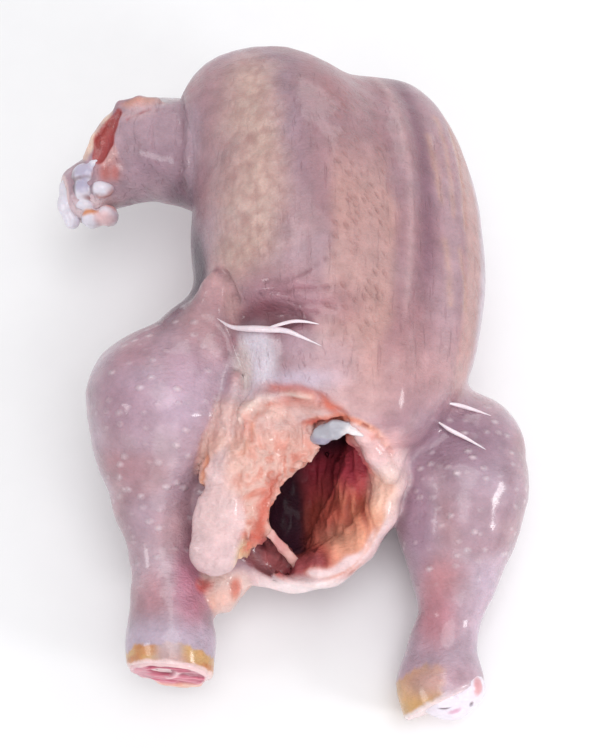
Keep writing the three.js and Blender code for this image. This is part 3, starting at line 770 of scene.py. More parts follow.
def relief(p, where):
    """How far each point stands out along its normal, in millimetres: noise of three sizes, the
    folds of fat and wall, the tail's and wing end's lumps, the neck's gathers, and the marks."""
    h = 0.5 * rough(p, 26) + 0.3 * rough(p, 11) + 0.12 * rough(p, 5)
    wide, fine = fat_folds(p)
    fat = np.clip(where["flap"] - 0.8 * where["tongue"], 0, 1) + 0.25 * where["tongue"]
    h += fat * (1.3 * wide + 0.9 * fine)
    wide, fine = wall_folds(p)
    h += where["wall"] * step(p[:, 1], -100, -80) * (1.1 * wide + 0.5 * fine)
    h += where["rim"] * (1 - where["wall"]) * 0.4 * rough(p, 8)
    h += where["tail"] * (1.2 * rough(p, 6) + 0.5 * creases(p, 5))
    h += where["wing_end"] * 0.45 * rough(p, 4)
    h += 0.8 * step(p[:, 1], 118, 134) * step(-p[:, 0], -20, 0) * rough(p, (6, 12, 5))
    bent = waver(p)
    for wide, high, _, _, line in MARKS:
        if high:
            h += high * band(near_line(bent, line), wide)
    return h


MAUVE = (166, 128, 138)
LAVENDER = (176, 156, 174)
TAN = (210, 178, 166)
# painted shade for the groove beside the keel
KEEL_GROOVE_SHADE = (118, 80, 98)
ROSE = (172, 118, 124)
CREAM = (236, 206, 207)
APRICOT = (236, 178, 150)
RUST = (208, 100, 72)
MAROON = (190, 60, 82)
# near-black painted shade deep in the hollow
DEEP_SHADE = (50, 14, 40)
LILAC = (186, 168, 186)
YOLK = (206, 156, 78)
MEAT = (166, 66, 66)
BROWN = (192, 112, 66)
# painted shade for the far flank
FLANK_SHADE = (150, 106, 114)
SLATE = (142, 118, 136)
PALE_GRISTLE = (232, 220, 226)


def breast_tones(p, where, tone):
    """Tan tracts of feathers on each side of the keel, lilac between, and painted shade in the
    groove beside the keel and down the far flank.
    """
    x, y, breast = where["across"], where["along"], where["breast"]
    drift = 3 * rough(p, 14)
    outer = step(y, -34, -12) * (1 - 0.5 * step(y, 66, 86))
    tract = band(x + 61.5 + 3 * step(-y, 0, 30) + drift, 9.5) * outer
    second = step(x + drift, -42, -34) * fall(x + drift, -12, -4) * step(-y, -42, -8)
    return paint_over(
        tone,
        (TAN, 0.8 * breast * tract),
        # painted shade down the far flank
        (FLANK_SHADE, 0.7 * breast * fall(x, -76, -68) * step(y, -40, 0)),
        (SLATE, 0.55 * breast * band(x + 48 + 1.6 * drift, 5) * step(y, -20, 15)),
        ((146, 102, 106), 0.45 * breast * step(x, -54, -44) * fall(x, 6, 14)),
        ((206, 162, 148), 0.45 * breast * second),
        # painted shade in the groove on one side of the keel
        (KEEL_GROOVE_SHADE, 0.75 * breast * band(x - 9, 5.5) * step(y, -44, -10)),
        ((178, 152, 160), 0.5 * breast * band(x - 21, 6.5)),
        ((198, 158, 146), 0.5 * breast * step(x, 26, 32) * fall(x, 38, 46)),
        ((206, 196, 208), 0.75 * breast * step(x, 38, 46)),
        (CREAM, 0.2 * breast * band(x + 0.6, 2) * step(y, -50, -30)),
        ((200, 154, 154), 0.5 * breast * step(-y, 38, 66) * step(x, -36, -8)))


def leg_tones(p, where, tone):
    """Mauve thighs, lilac shanks and a torn yellow cuff of scaly skin above each cut."""
    right, left = where["leg_right"], where["leg_left"]
    hock = np.maximum(right * step(-p[:, 1], 106, 118), 0.5 * left * step(-p[:, 1], 104, 126))
    torn = 2.6 * rough(p, (11, 9, 11)) + 1.3 * rough(p, 2.6)
    down = beyond(p, SHANK_CUT_RIGHT) + torn
    sides = step(np.abs(p[:, 0] + 46.5 + 2 * rough(p, 5)), 3, 10)
    cuff = step(down, -7.2, -5.8) * (0.25 + 0.75 * sides) * right
    tone = paint_over(
        tone,
        (LILAC, 0.4 * where["legs"] * step(rough(p + 9, 16), -0.3, 0.6)),
        (LILAC, 0.85 * hock),
        (YOLK, 0.85 * cuff),
        (BROWN, 0.7 * cuff * step(rough(p, (9, 2.4, 9)) + 0.15 * down, -0.9, 0)),
        (CREAM, 0.8 * right * step(down - 0.6 * torn, -1.6, -0.8)))
    down = beyond(p, SHANK_CUT_LEFT) + torn
    cuff = step(down + 4 * step(-p[:, 0], -66, -52), -12, -10) * fall(p[:, 0] + torn, 63, 67)
    return paint_over(tone, (YOLK, 0.85 * cuff * left),
                      (PALE_GRISTLE, 0.8 * left * step(down - 0.6 * torn, -2.4, -1)))


def belly_tones(p, where, tone):
    """Cream fat skin with orange in its creases, and the red and brown walls of the opening, which
    darken inward, partly by the meat's own colour and partly by painted shade, to near-black
    painted shade deep in the slit and the passage to the chest.
    """
    y, flap, wall = p[:, 1], where["flap"], where["wall"]
    wide, fine = fat_folds(p)
    edge = flap * (0.12 + 0.88 * step(p[:, 0] - 0.25 * y, -12, 12))
    tone = paint_over(
        tone,
        (CREAM, 0.85 * where["rim"]),
        ((218, 178, 172), 0.85 * flap),
        (APRICOT, 0.3 * flap * step(-y, 40, 50)),
        (RUST, 0.7 * edge * step(-wide, 0.1, 0.6) * step(-y, 36, 46)),
        (RUST, 0.55 * edge * step(-fine, 0.1, 0.6) * step(-y, 40, 50)),
        ((222, 190, 192), 0.85 * where["tongue"]))
    wide, fine = wall_folds(p)
    across = p[:, 0] + 0.12 * (y + 60) + 3 * rough(p, 11)
    top = step(y + 0.35 * (p[:, 0] - 30) + 4 * rough(p, 9), -64, -48)
    low = fall(np.abs(limb(p, LOW_POCKET, 4)), 0.6, 2.4)
    return paint_over(
        tone,
        (APRICOT, wall),
        # the wall darkens inward from the rim, partly by the meat's own colour and partly by
        # painted shade
        (RUST, 0.7 * wall * fall(across, 30, 40)),
        ((186, 74, 68), 0.8 * wall * fall(across, 16, 30)),
        ((146, 52, 44), 0.75 * wall * step(-wide, -0.2, 0.5)),
        ((170, 72, 58), 0.4 * wall * step(-fine, -0.3, 0.5)),
        (MAROON, 0.9 * wall * top * fall(p[:, 2], 60, 74)),
        (APRICOT, 0.6 * wall * step(-y, 66, 80) * step(across, 10, 20)),
        # near-black painted shade deep in the slit at the opening's low end
        (DEEP_SHADE, 0.95 * wall * fall(across, 4, 14) * step(y, -86, -78)),
        ((150, 70, 76), 0.9 * wall * step(-y, 80, 86) * fall(across, 8, 16)),
        # near-black painted shade in the passage up to the chest
        (DEEP_SHADE, 0.9 * wall * step(y, -40, -30)),
        ((132, 56, 66), 0.85 * low),
        ((170, 92, 96), 0.9 * where["lump"]),
        ((230, 196, 186), 0.8 * where["tail"]),
        ((214, 150, 128), 0.5 * where["tail"] * step(rough(p, 5), 0.1, 0.6)))


def cloud_coats(p, clouds):
    """Each cloud's paint, with its share at each point."""
    return [(paint, cover * spot(p, at, half, soft)) for at, half, soft, paint, cover in clouds]


def tones(p, where):
    """The skin's base colour in light: mauve skin, with the paint of each region over it."""
    cloud, bent = rough(p, 19), waver(p)
    tone = paint_over(
        plain_tone(MAUVE, len(p)),
        (LAVENDER, 0.4 * step(cloud, 0.0, 0.8)),
        (ROSE, 0.4 * step(-cloud, 0.1, 0.8)),
        ((146, 108, 120), 0.3 * step(rough(p, 7), 0.1, 0.7)),
        ((196, 164, 170), 0.3 * step(-rough(p + 20, 6), 0.1, 0.7)))
    tone = leg_tones(p, where, breast_tones(p, where, tone))
    tone = paint_over(tone, ((178, 152, 166), 0.6 * where["wing_right"]),
                      *cloud_coats(p, CLOUDS_UNDER))
    return paint_over(
        belly_tones(p, where, tone),
        *cloud_coats(p, CLOUDS_OVER),
        *((paint, cover * band(near_line(bent, line), 1.1 * wide))
          for wide, _, paint, cover, line in MARKS),
        ((240, 208, 190), 0.9 * fall(limb(p, WING_FOLDS[0], 2), 0.2, 1.2)),
        ((228, 176, 174), 0.7 * fall(limb(p, WING_FOLDS[2], 2), 0.2, 1.4)),
        (MEAT, 0.95 * fall(limb(p, WING_POCKET, 2), 0.4, 1.6)),
        (CREAM, 0.8 * where["cut"]))


def finishes(p, where):
    """Shares for the shader: red the netted tracts, green the legs' bumps, blue the fine creases
    and alpha the slits."""
    x, y, breast = where["across"], where["along"], where["breast"]
    rows = step(x, -40, -34) * fall(x, -14, -8) * step(-y, -78, -48) * step(y, -62, -44)
    slits = breast * np.maximum(rows, 0.6 * step(x, 24, 30)) * step(rough(p, 7), -0.7, 0.1)
    tract = np.maximum(breast * band(x + 62, 10) * step(y, -36, -12), 0.5 * slits)
    bumps = where["legs"] * fall(-p[:, 1], 88, 104)
    fine = breast * (1 - 0.6 * tract) + where["wing_right"] + where["wing_left"]
    shares = np.stack([tract, bumps, np.clip(fine, 0, 1), slits], 1)
    return shares * (1 - where["wall"])[:, None]


def math(tree, operation, *values):
    """One Math node's result."""
    node = place(tree, "ShaderNodeMath", dict(enumerate(values)), operation=operation)
    return node.outputs["Value"]


def ramp(tree, value, low, high, to_low=0.0, to_high=1.0):
    """Maps a value from low..high onto to_low..to_high, kept between them."""
    node = place(tree, "ShaderNodeMapRange", {"Value": value, "From Min": low, "From Max": high,
                                              "To Min": to_low, "To Max": to_high})
    return node.outputs["Result"]


def press(tree, shader, height, strength, distance):
    """Raises a height on a shader's surface as bumps."""
    bump = place(tree, "ShaderNodeBump", {"Height": height, "Strength": strength,
                                          "Distance": distance})
    tree.links.new(bump.outputs["Normal"], shader.inputs["Normal"])


def mottle_group():
    """The clouded look of moist flesh: noise of a size, which lightens and darkens a colour by a
    depth. The noise is put out as a height as well."""
    tree = bpy.data.node_groups.new("moist_flesh", "ShaderNodeTree")
    face = tree.interface
    for name, kind in (("Colour", "Color"), ("Size", "Float"), ("Depth", "Float")):
        face.new_socket(name, in_out="INPUT", socket_type=f"NodeSocket{kind}")
    for name, kind in (("Colour", "Color"), ("Height", "Float")):
        face.new_socket(name, in_out="OUTPUT", socket_type=f"NodeSocket{kind}")
    given = tree.nodes.new("NodeGroupInput")
    out = tree.nodes.new("NodeGroupOutput")
    broad = noise(tree, object_places(tree), Scale=given.outputs["Size"], Detail=6.0,
                  Roughness=0.66)
    value = ramp(tree, broad, 0.3, 0.7, -1.0, 1.0)
    value = math(tree, "MULTIPLY_ADD", value, given.outputs["Depth"], 1.0)
    bright = place(tree, "ShaderNodeHueSaturation", {"Color": given.outputs["Colour"],
                                                     "Value": value}).outputs["Color"]
    tree.links.new(bright, out.inputs["Colour"])
    tree.links.new(broad, out.inputs["Height"])
    return tree


MOIST_FLESH = mottle_group()


def flesh(tree, tone, size, depth):
    """Puts the moist flesh group into a material, fed with that material's tone."""
    return place(tree, "ShaderNodeGroup", {"Colour": tone, "Size": size, "Depth": depth},
                 node_tree=MOIST_FLESH)


def attribute(tree, name):
    """The node that reads one of the mesh's colour attributes."""
    return place(tree, "ShaderNodeVertexColor", layer_name=name)


def follicles(tree, where, spacing, stretch, big, small):
    """Marks one to a cell: a scattered cell's offset from its centre, pressed by stretch, whose
    length fades the mark from the small share of the spacing, where it is one, to the big one."""
    placed = place(tree, "ShaderNodeVectorMath", {0: where, "Scale": 1 / (spacing * MM)},
                   operation="SCALE").outputs["Vector"]
    cell = place(tree, "ShaderNodeTexVoronoi", {"Vector": placed, "Scale": 1.0,
                                                "Randomness": 0.8}).outputs["Position"]
    offset = place(tree, "ShaderNodeVectorMath", {0: placed, 1: cell},
                   operation="SUBTRACT").outputs["Vector"]
    offset = place(tree, "ShaderNodeVectorMath", {0: offset, 1: stretch},
                   operation="MULTIPLY").outputs["Vector"]
    length = place(tree, "ShaderNodeVectorMath", {0: offset}, operation="LENGTH").outputs["Value"]
    return ramp(tree, length, big, small)


def skin_material():
    """Wet skin over meat: netted feather tracts, slits, pale bumps on the legs, their paleness
    partly painted highlight, and fine creases.
    """
    material, tree, shader = new_material(
        "raw_skin", Roughness=0.42, Subsurface_Weight=0.12, Subsurface_Radius=(1.0, 0.35, 0.25),
        Subsurface_Scale=0.003, Coat_Weight=0.5, Coat_Roughness=0.14, Specular_IOR_Level=0.4)
    tone = attribute(tree, "tone").outputs["Color"]
    finish = attribute(tree, "finish")
    parts = place(tree, "ShaderNodeSeparateColor", {"Color": finish.outputs["Color"]})
    where = object_places(tree)
    turned = place(tree, "ShaderNodeMapping", {"Vector": where, "Rotation": tuple(
        -np.radians([BODY_TURN["pitch"], BODY_TURN["roll"], BODY_TURN["yaw"]]))}).outputs["Vector"]
    base = flesh(tree, tone, size=130.0, depth=0.18)
    net = place(tree, "ShaderNodeTexVoronoi",
                {"Vector": turned, "Scale": 290.0, "Randomness": 0.9},
                feature="SMOOTH_F1").outputs["Distance"]
    net = math(tree, "MULTIPLY", ramp(tree, net, 0.3, 0.75), parts.outputs["Red"])
    slant = place(tree, "ShaderNodeMapping", {"Vector": turned, "Rotation": (0, 0, 0.9)})
    slit = follicles(tree, slant.outputs["Vector"], spacing=4.8, stretch=(1.0, 1.9, 0.5),
                     big=0.46, small=0.1)
    slit = math(tree, "MULTIPLY", slit, finish.outputs["Alpha"])
    dot = follicles(tree, where, spacing=6.6, stretch=(1.0, 1.5, 0.8), big=0.34, small=0.06)
    dot = math(tree, "MULTIPLY", dot, parts.outputs["Green"])
    dot = math(tree, "MULTIPLY", dot, ramp(tree, base.outputs["Height"], 0.38, 0.55, 0.25, 1.0))
    lines_at = place(tree, "ShaderNodeMapping", {"Vector": turned, "Rotation": (0, 0, 0.25),
                                                 "Scale": (520.0, 55.0, 520.0)}).outputs["Vector"]
    lines = noise(tree, lines_at, Detail=3.0, Distortion=0.5)
    line = math(tree, "MULTIPLY", ramp(tree, lines, 0.58, 0.72), parts.outputs["Blue"])
    colour = base.outputs["Colour"]
    # the legs' bumps are lightened, partly by their own paleness and partly by painted highlight
    # on their raised lips
    for part, share, paint in ((net, 0.55, (160, 110, 108)), (slit, 0.34, (158, 100, 98)),
                               (dot, 0.68, (226, 206, 214)), (line, 0.3, (146, 98, 110))):
        colour = tint(tree, math(tree, "MULTIPLY", part, share), colour, paint)
    tree.links.new(colour, shader.inputs["Base Color"])
    crinkle_at = place(tree, "ShaderNodeMapping", {"Vector": where,
                                                   "Scale": (420.0, 800.0, 700.0)})
    crinkle = noise(tree, crinkle_at.outputs["Vector"], Detail=3.0, Roughness=0.6)
    height = math(tree, "MULTIPLY", base.outputs["Height"], 0.5)
    for part, share in ((net, -0.5), (slit, -1.0), (dot, 1.0), (line, -0.4), (crinkle, 0.9)):
        height = math(tree, "MULTIPLY_ADD", part, share, height)
    press(tree, shader, height, strength=0.85, distance=0.0009)
    wet = ramp(tree, base.outputs["Height"], 0.35, 0.7, 0.30, 0.55)
    coat = attribute(tree, "wet").outputs["Color"]
    dull = ramp(tree, coat, 0.1, 0.5, 0.35, 0.0)
    tree.links.new(math(tree, "ADD", wet, dull), shader.inputs["Roughness"])
    tree.links.new(coat, shader.inputs["Coat Weight"])
    return material


def split(p, faces, chosen):
    """Halves each edge whose two ends are chosen: a triangle with three such edges becomes four,
    and one with a single such edge becomes two, so that no gap opens."""
    edges = np.sort(np.concatenate([faces[:, [i, (i + 1) % 3]] for i in range(3)]), 1)
    edges, which = np.unique(edges, axis=0, return_inverse=True)
    cut = chosen[edges].all(1)
    middle = np.where(cut, len(p) + np.cumsum(cut) - 1, -1)[which.ravel()].reshape(3, -1).T
    p = np.concatenate([p, p[edges[cut]].mean(1)])
    count = (middle >= 0).sum(1)
    kept = [faces[count == 0]]
    a, b, c = faces[count == 3].T
    ab, bc, ca = middle[count == 3].T
    kept += [np.stack(three, 1) for three in ((a, ab, ca), (ab, b, bc), (ca, bc, c), (ab, bc, ca))]
    first = np.argmax(middle[count == 1], 1)
    rows = np.nonzero(count == 1)[0]
    a, b, c = (faces[rows, (first + i) % 3] for i in range(3))
    ab = middle[rows, first]
    kept += [np.stack((a, ab, c), 1), np.stack((ab, b, c), 1)]
    return p, np.concatenate(kept)


def halve(p, faces):
    """Cuts each face of four vertices into two triangles along its shorter diagonal."""
    a, b, c, d = faces.T
    short = np.linalg.norm(p[a] - p[c], axis=1) < np.linalg.norm(p[b] - p[d], axis=1)
    one = np.where(short[:, None], np.stack((a, b, c), 1), np.stack((a, b, d), 1))
    two = np.where(short[:, None], np.stack((a, c, d), 1), np.stack((b, c, d), 1))
    return np.concatenate([one, two])


def near_detail(p):
    """Places of the carcass that get the finest net: belly, groin and the shanks' ends."""
    x, y, z = p.T
    belly = ((p > FINEST_BELLY["low"]) & (p < FINEST_BELLY["high"])).all(1)
    belly &= ~((hollow(p) < CHEST_SKIN) & (y > -34))
    groin = np.linalg.norm((p - FINEST_GROIN["at"]) / FINEST_GROIN["half"], axis=1) < 1
    cuffs = (beyond(p, SHANK_CUT_RIGHT) > -CUFF_REACH) & (x < -20)
    cuffs |= (beyond(p, SHANK_CUT_LEFT) > -CUFF_REACH) & (x > 30)
    return belly | groin | (cuffs & (y < -100) & (z > 20))


def dress(name, field, p, faces, material, replaced=None):
    """Evens out a net and settles it once more, moves each point along its normal by the relief
    where no cut or flat is, and makes the piece with its tones, finishes and wetness."""
    p = settle(field, relax(p, faces, 0.4))
    normal = normals(field, p)
    where = masks(p, normal)
    p = p + normal * (relief(p, where) * (1 - where["cut"]) * step(p[:, 2], 0.3, 3))[:, None]
    wet = np.tile(((0.5 + 0.25 * where["legs"]) * (1 - 0.8 * where["wall"]))[:, None], 4)
    make_piece(name, p, faces, {"tone": tones(p, where), "finish": finishes(p, where), "wet": wet},
               material, replaced)


def make_carcass(material):
    """The body, legs and tail: a wide net, split where it faces up and again where it is seen
    most closely."""
    lines = [grid_lines(*limits) for limits in zip(GRID_LOW, GRID_HIGH, FINE_LOW, FINE_HIGH)]
    p, faces = lay_net(bird, lines)
    p = settle(bird, relax(settle(bird, p), faces, 0.5))
    faces = halve(p, faces)
    wide = ((p < np.array(FINE_LOW)) | (p > np.array(FINE_HIGH))).any(1)
    chest = (hollow(p) < CHEST_SKIN) & (p[:, 1] > -30)
    p, faces = split(p, faces, wide & ~chest & (normals(bird, p)[:, 2] > -0.25))
    p, faces = split(p, faces, near_detail(p))
    dress("skin_and_meat", bird, p, faces, material, "carcass")


def make_wing(name, field, low, high, outer, material):
    """One upper wing, whose net is twice as fine on the upper side beyond the outer place."""
    p, faces = lay_net(field, [np.arange(*limits, WING_CELL) for limits in zip(low, high)])
    p = settle(field, p)
    faces = halve(p, faces)
    p, faces = split(p, faces, (p[:, 0] < outer) & (normals(field, p)[:, 2] > -0.3))
    dress(name, field, p, faces, material)


RAW_SKIN = skin_material()
make_carcass(RAW_SKIN)
make_wing("wing_right", wing_right, low=(-112, 58, 36), high=(-18, 126, 102), outer=-50,
          material=RAW_SKIN)
make_wing("wing_left", wing_left, low=(22, 24, -4), high=(98, 132, 64), outer=-200,
          material=RAW_SKIN)

# ---- the wing joints ----------------------------------------------------------------------
# The ends of the upper wing bones, where the outer wings were cut off: round knuckles of white
# gristle, on the right with bits of fat and skin about them. The left one lies under the body.

# Lumps are places, half widths and the width that each runs in over.
LUMPS_RIGHT = [((-90, 84.5, 66), (6.6, 5.4, 5.6), 1.2), ((-91.5, 77.8, 64), (4.6, 4.8, 5), 1),
               ((-85.5, 87.8, 70), (3.4, 2.6, 3), 1.5), ((-82.5, 77, 66.5), (5.2, 3.6, 4), 1.5),
               ((-91, 71.6, 61.5), (4.4, 2, 2.6), 1), ((-88, 67.8, 56), (5, 4, 6), 1.5),
               ((-81, 68.6, 57), (5, 4.2, 6.5), 1.5)]
LUMPS_LEFT = [((69.6, 28.6, 15.5), (5, 5.4, 7), 1.5), ((78.4, 28.2, 13.8), (4.8, 5, 6.5), 1.5)]
JOINT_SKIN = [[-96.5, 89, 60, 2.6], [-99.6, 82, 59.5, 3.4], [-100.2, 74, 57.5, 3.6],
              [-97.5, 67.5, 54, 3.4]]


def gristle_material():
    """Moist gristle and bone: the painted tone, clouded, under a thin wet coat."""
    material, tree, shader = new_material(
        "wet_gristle", Roughness=0.35, Subsurface_Weight=0.2, Subsurface_Radius=(1.0, 0.6, 0.5),
        Subsurface_Scale=0.002, Coat_Weight=0.5, Coat_Roughness=0.12)
    base = flesh(tree, attribute(tree, "tone").outputs["Color"], size=260.0, depth=0.08)
    tree.links.new(base.outputs["Colour"], shader.inputs["Base Color"])
    press(tree, shader, base.outputs["Height"], strength=0.5, distance=0.0006)
    return material


GRISTLE = gristle_material()


def net_piece(name, field, low, high, cell, paint, clouds, bumps, replaced=None):
    """A closed piece of gristle laid on a field by a net of even cells, roughened by noise and
    painted: one paint all over, with soft clouds, each a place, half widths and a paint."""
    p, faces = lay_net(field, [np.arange(*limits, cell) for limits in zip(low, high)])
    p = settle(field, settle(field, p))
    p = p + normals(field, p) * (bumps * (rough(p, 3.2) + 0.5 * creases(p, 2.1)))[:, None]
    tone = paint_over(plain_tone(paint, len(p)),
                      *((colour, 0.9 * spot(p, at, half, 0.4)) for at, half, colour in clouds))
    make_piece(name, p, halve(p, faces), {"tone": tone}, GRISTLE, replaced)


def lumps(p, d, places):
    """A distance with ellipsoids run into it in turn."""
    return join(d, *((ellipsoid(p, at, half), width) for at, half, width in places))


def wing_joint_right(p):
    """Knuckles, a nub and lobes of fat over the bone's buried shaft, and a curl of skin."""
    d = lumps(p, limb(p, [[-80, 82, 58, 8], [-92, 80, 58, 9.5]], 4), LUMPS_RIGHT)
    return blend(d, limb(p, JOINT_SKIN, 2), 1.2)


def wing_joint_left(p):
    """Two knuckles side by side on the bone's buried shaft."""
    return lumps(p, limb(p, [[72.5, 38, 15, 7], [74, 30, 14.5, 8]], 4), LUMPS_LEFT)


net_piece("wing_joint_right", wing_joint_right, low=(-106, 60, 44), high=(-72, 96, 78), cell=0.75,
          paint=(226, 220, 232), bumps=0.28, replaced="humerus_right",
          clouds=[((-91, 84, 71), (5, 4, 3), (184, 176, 200)),
                  ((-91.5, 78, 69), (3.6, 3.6, 3), (180, 172, 198)),
                  ((-85.8, 82, 68), (1.6, 3, 4), (176, 122, 126)),
                  # painted shade in a crevice between the knuckles
                  ((-87, 78, 65), (1.3, 4, 6), (128, 98, 108)),
                  ((-86, 73.6, 61), (6, 1.0, 7), (160, 112, 112)),
                  # painted shade in a crevice between the knuckles
                  ((-95.6, 78, 62), (1.4, 9, 9), (116, 94, 106)),
                  # painted shade in a crevice between the knuckles
                  ((-91, 81.2, 66), (6, 0.9, 5), (150, 130, 140)),
                  ((-88, 68.2, 60), (4.5, 1.6, 3), (218, 130, 60)),
                  ((-82, 72.5, 62), (5, 2.5, 5), (232, 196, 196)),
                  ((-82, 66.5, 58), (5, 3, 6), (232, 190, 192)),
                  ((-78, 74, 60), (4, 5, 8), (222, 150, 140))])
net_piece("wing_joint_left", wing_joint_left, low=(62, 20, 3), high=(88, 48, 28), cell=0.9,
          paint=(222, 212, 224), bumps=0.2, replaced="humerus_left",
          clouds=[((74, 27, 14), (1.6, 6, 7), (198, 150, 156)),
                  ((69.5, 25, 15), (3, 3, 4), (188, 176, 200))])

# ---- the cut shanks -----------------------------------------------------------------------
# Where the feet came off. The right shank is sawn through: a rim of skin, red meat, and the
# dark marrow in its bone. The left one parted at the joint: a white lump with two slits in it.

SAWN_AT = np.array([-47.0, -131.6, 33.6])
SAWN_HALF = (16.4, 16.2)
SAWN_RINGS = 44
SAWN_SPOKES = 150
SAWN_STRAND = [(-4, 6, 0), (-2.5, 1, 0), (1, -3.5, 0)]
SAWN_SLIT = [(-8, 9.5, 0), (-2, 9, 0), (4, 8, 0), (8, 4, 0)]
TENDON = (232, 186, 194)
JOINT_LUMPS = [((64, -138.5, 22), (9.5, 8, 12.5), 3), ((74.5, -135.5, 21), (8.5, 8.5, 13), 2)]
JOINT_SLITS = [[[62.5, -147.5, 29, 0.7], [67, -146.5, 30, 0.5]],
               [[75.5, -144.5, 30, 0.6], [77, -144.8, 26, 0.7]]]


def tube_faces(rows, spokes):
    """Triangles between rings of points, two to each gap, with a fan at each end round a point.
    The two points come after the rings, the first ring's before the last ring's."""
    ring = np.arange(rows * spokes).reshape(rows, spokes)
    after = np.roll(ring, -1, 1)
    first, last = np.full(spokes, ring.size), np.full(spokes, ring.size + 1)
    fours = (ring[:-1].ravel(), ring[1:].ravel(), after[1:].ravel(), after[:-1].ravel())
    return np.concatenate([np.stack((fours[0], fours[1], fours[2]), 1),
                           np.stack((fours[0], fours[2], fours[3]), 1),
                           np.stack((first, ring[0], after[0]), 1),
                           np.stack((last, after[-1], ring[-1]), 1)])


def sawn_end():
    """Rings round the centre out to a wavy ellipse, pushed out along the cut's way by its relief
    and closed by a fan to a point behind them."""
    out = unit(SHANK_CUT_RIGHT["facing"])
    right = unit(np.cross((0, 0, 1), -out))
    up = np.cross(-out, right)
    share, turned = np.meshgrid(np.arange(1, SAWN_RINGS + 1) / SAWN_RINGS,
                                2 * np.pi * np.arange(SAWN_SPOKES) / SAWN_SPOKES, indexing="ij")
    share, turned = share.ravel(), turned.ravel()
    edge = 1 + 0.03 * np.sin(3 * turned + 1) + 0.02 * np.sin(7 * turned)
    u = share * edge * SAWN_HALF[0] * np.cos(turned)
    w = share * edge * SAWN_HALF[1] * np.sin(turned)
    flat = np.stack([u, w, 0 * u], -1)
    meat = fall(share + 0.03 * np.sin(5 * turned), 0.86, 0.93)
    streak = rough(flat + 1.5 * rough(flat, 5)[..., None], (6, 1.5, 3))
    marrow = spot(flat, (3.5, 4.6, 0), (4.6, 4.4, 1), 0.4) * meat
    tendon = band(near_line(flat, SAWN_STRAND), 1.3) * meat
    slit = band(near_line(flat, SAWN_SLIT), 1.0) * meat
    fat = step(-w - 0.2 * u, 10.5, 13)
    high = (0.3 * band(share - 0.95, 0.05) + 0.3 * meat + 0.6 * meat * streak - 1.0 * marrow
            + 0.7 * tendon - 0.8 * slit + 1.2 * fat + 0.2 * rough(flat, 3)
            - 3.0 * step(share, 0.96, 1.0))
    at = SAWN_AT + u[:, None] * right + w[:, None] * up + high[:, None] * out
    tone = paint_over(
        plain_tone((232, 196, 198), share.size),
        ((190, 80, 108), 0.95 * meat),
        ((222, 140, 158), 0.7 * meat * step(streak, 0.15, 0.6)),
        ((138, 30, 64), 0.75 * meat * step(-streak, 0.1, 0.5)),
        ((206, 150, 162), 0.8 * spot(flat, (13, -1, 0), (4, 8, 1), 0.5)),
        (TENDON, 0.9 * tendon),
        ((110, 20, 48), 0.85 * slit),
        ((118, 12, 44), 0.9 * marrow),
        ((232, 186, 166), 0.9 * fat),
        ((222, 150, 120), 0.5 * fat * step(rough(flat, 3), 0, 0.6)))
    p = np.concatenate([at, [SAWN_AT - 1.1 * out, SAWN_AT - 6 * out]])
    tone = np.concatenate([tone, plain_tone((200, 90, 112), 1), plain_tone(CREAM, 1)])
    make_piece("sawn_shank_right", p, tube_faces(SAWN_RINGS, SAWN_SPOKES)[:, ::-1],
               {"tone": tone}, GRISTLE, "tibia_right")


def shank_joint_left(p):
    """Two worn knuckles over the shank's end, with two narrow slits cut into them."""
    d = lumps(p, limb(p, [[66, -128, 18, 10], [69, -137, 18, 11]], 4), JOINT_LUMPS)
    for slit in JOINT_SLITS:
        d = carve(d, limb(p, slit, 0.5), 0.8)
    return d


sawn_end()
net_piece("shank_joint_left", shank_joint_left, low=(50, -150, 0), high=(88, -112, 38), cell=0.75,
          paint=(228, 218, 230), bumps=0.25, replaced="tibia_left",
          clouds=[((79, -136, 32), (2.4, 4, 3), (212, 150, 156)),
                  ((65, -145.5, 29.5), (2.8, 2.5, 0.6), (80, 46, 66)),
                  ((76.3, -144, 28), (0.8, 2.5, 2.0), (80, 46, 66)),
                  ((69, -144, 26), (3, 3, 1.5), (206, 150, 178)),
                  ((60, -138, 33), (5, 5, 3), (232, 200, 196)),
                  ((70, -138, 8), (12, 10, 6), (224, 196, 196))])

# ---- the belly's membrane and the taut edges of skin ------------------------------------------
# Thin wet tissue left at the opening: a bluish membrane under its upper edge and a pale band
# across its low end; and the drawn edges of skin in the groin and over the left thigh.

MEMBRANE = {"stations": [[11, -45.5, 77, 2], [15, -44, 80, 3.4], [20, -42.8, 82, 3.4],
                         [25, -42, 83, 2]],
            "facing": (0.1, -0.55, 0.83), "flatness": 0.35, "width": 3}
MEMBRANE_STRIP = [[23, -42.5, 83.2, 0.9], [27, -43.5, 82, 1.2], [31, -44.5, 80, 0.8]]
BAND = {"stations": [[-11, -74, 63, 1.2], [-6, -78, 54, 1.6], [-1, -82, 45, 1.9],
                     [5, -87, 36, 2.2]],
        "facing": (0.5, -0.7, 0.5), "flatness": 0.45, "width": 2}


def belly_membrane(p):
    """A pressed limb along the opening's upper edge, with a thin strip at its end."""
    return blend(sheet(p, **MEMBRANE), limb(p, MEMBRANE_STRIP, 1.5), 1.2)


def belly_band(p):
    """A pressed limb hung across the opening's low end."""
    return sheet(p, **BAND)


net_piece("belly_membrane", belly_membrane, low=(0, -54, 68), high=(36, -34, 92), cell=0.6,
          paint=(168, 166, 176), bumps=0.3,
          clouds=[((15, -46, 79), (4, 3, 1.5), (146, 136, 158)),
                  ((28, -43.5, 82), (5, 3, 3), (236, 228, 230))])
net_piece("belly_band", belly_band, low=(-14, -94, 28), high=(12, -70, 70), cell=0.6,
          paint=(222, 170, 164), bumps=0.15,
          clouds=[((-2, -82, 50), (3, 5, 7), (206, 140, 138))])

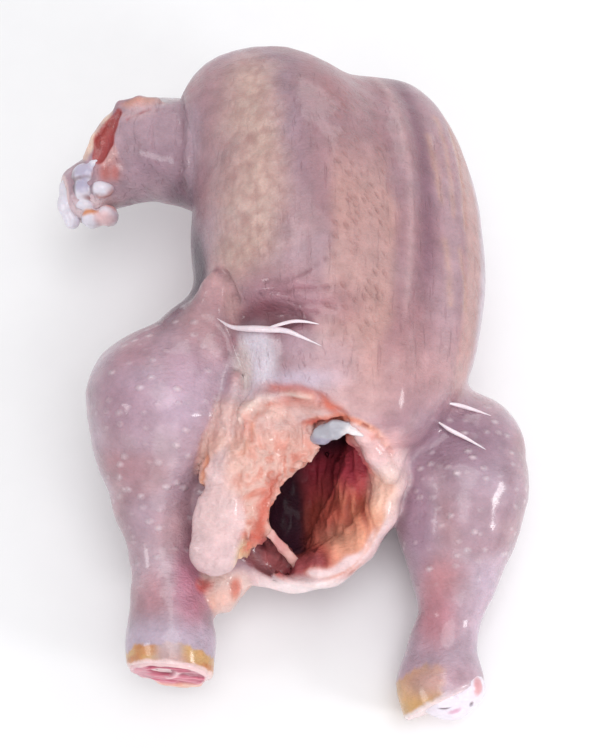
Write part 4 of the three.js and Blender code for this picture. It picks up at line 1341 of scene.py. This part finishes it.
DRAWN_SKIN = {
    "groin_edge": [(-28, 2.5, 90, 0.4), (-21, -3.5, 94.2, 1.1), (-11, -7.3, 101.0, 1.4),
                   (0, -10, 105.3, 1.1), (6, -12.6, 105.7, 0.9), (14.5, -16.3, 104.6, 0.4)],
    "groin_branch": [(-8, -8, 102.5, 0.5), (-3, -8, 106, 0.7), (3, -7.4, 108.2, 0.7),
                     (8, -7.8, 108.9, 0.6), (13.5, -8.8, 108.6, 0.4)],
    "thigh_edge_upper": [(66, -25.5, 67, 0.5), (72, -25.2, 63.2, 0.9), (79, -25.5, 58.6, 0.8),
                         (87, -27.8, 57.0, 0.4)],
    "thigh_edge_lower": [(62.5, -32.5, 64.5, 0.5), (68, -36, 63.2, 0.9), (75, -39.5, 62.0, 0.8),
                         (83, -44.5, 62.0, 0.4)],
}
STRAND_SIDES = 10
STRAND_STEPS = 60
STRAND_TONE = (236, 220, 228)
TO_THE_EYE = (0, -0.375, 0.927)


def strand(name, stations):
    """A thin round rod swept along a smooth line through the stations, its radius run between
    theirs, and drawn in to a point at both ends."""
    stations = np.array(stations, float)
    t = np.linspace(0, len(stations) - 1, STRAND_STEPS)
    low = np.minimum(t.astype(int), len(stations) - 2)
    f = (t - low)[:, None]
    pad = np.concatenate([2 * stations[:1] - stations[1:2], stations,
                          2 * stations[-1:] - stations[-2:-1]])
    a, b, c, d = (pad[low + i] for i in range(4))
    line = 0.5 * (2 * b + (c - a) * f + (2 * a - 5 * b + 4 * c - d) * f ** 2
                  + (3 * b - a - 3 * c + d) * f ** 3)
    middle = line[:, :3]
    radius = line[:, 3] * np.sin(np.pi * np.linspace(0, 1, STRAND_STEPS)) ** 0.4
    ahead = np.gradient(middle, axis=0)
    ahead = ahead / np.linalg.norm(ahead, axis=1, keepdims=True)
    side = np.cross(ahead, TO_THE_EYE)
    side = side / np.linalg.norm(side, axis=1, keepdims=True)
    over = np.cross(side, ahead)
    turned = 2 * np.pi * np.arange(STRAND_SIDES) / STRAND_SIDES
    ring = side[1:-1, None] * np.cos(turned)[:, None] + over[1:-1, None] * np.sin(turned)[:, None]
    p = middle[1:-1, None] + radius[1:-1, None, None] * ring
    p = np.concatenate([p.reshape(-1, 3), middle[:1], middle[-1:]])
    make_piece(name, p, tube_faces(STRAND_STEPS - 2, STRAND_SIDES),
               {"tone": plain_tone(STRAND_TONE, len(p))}, GRISTLE)


for name, stations in DRAWN_SKIN.items():
    strand(name, stations)
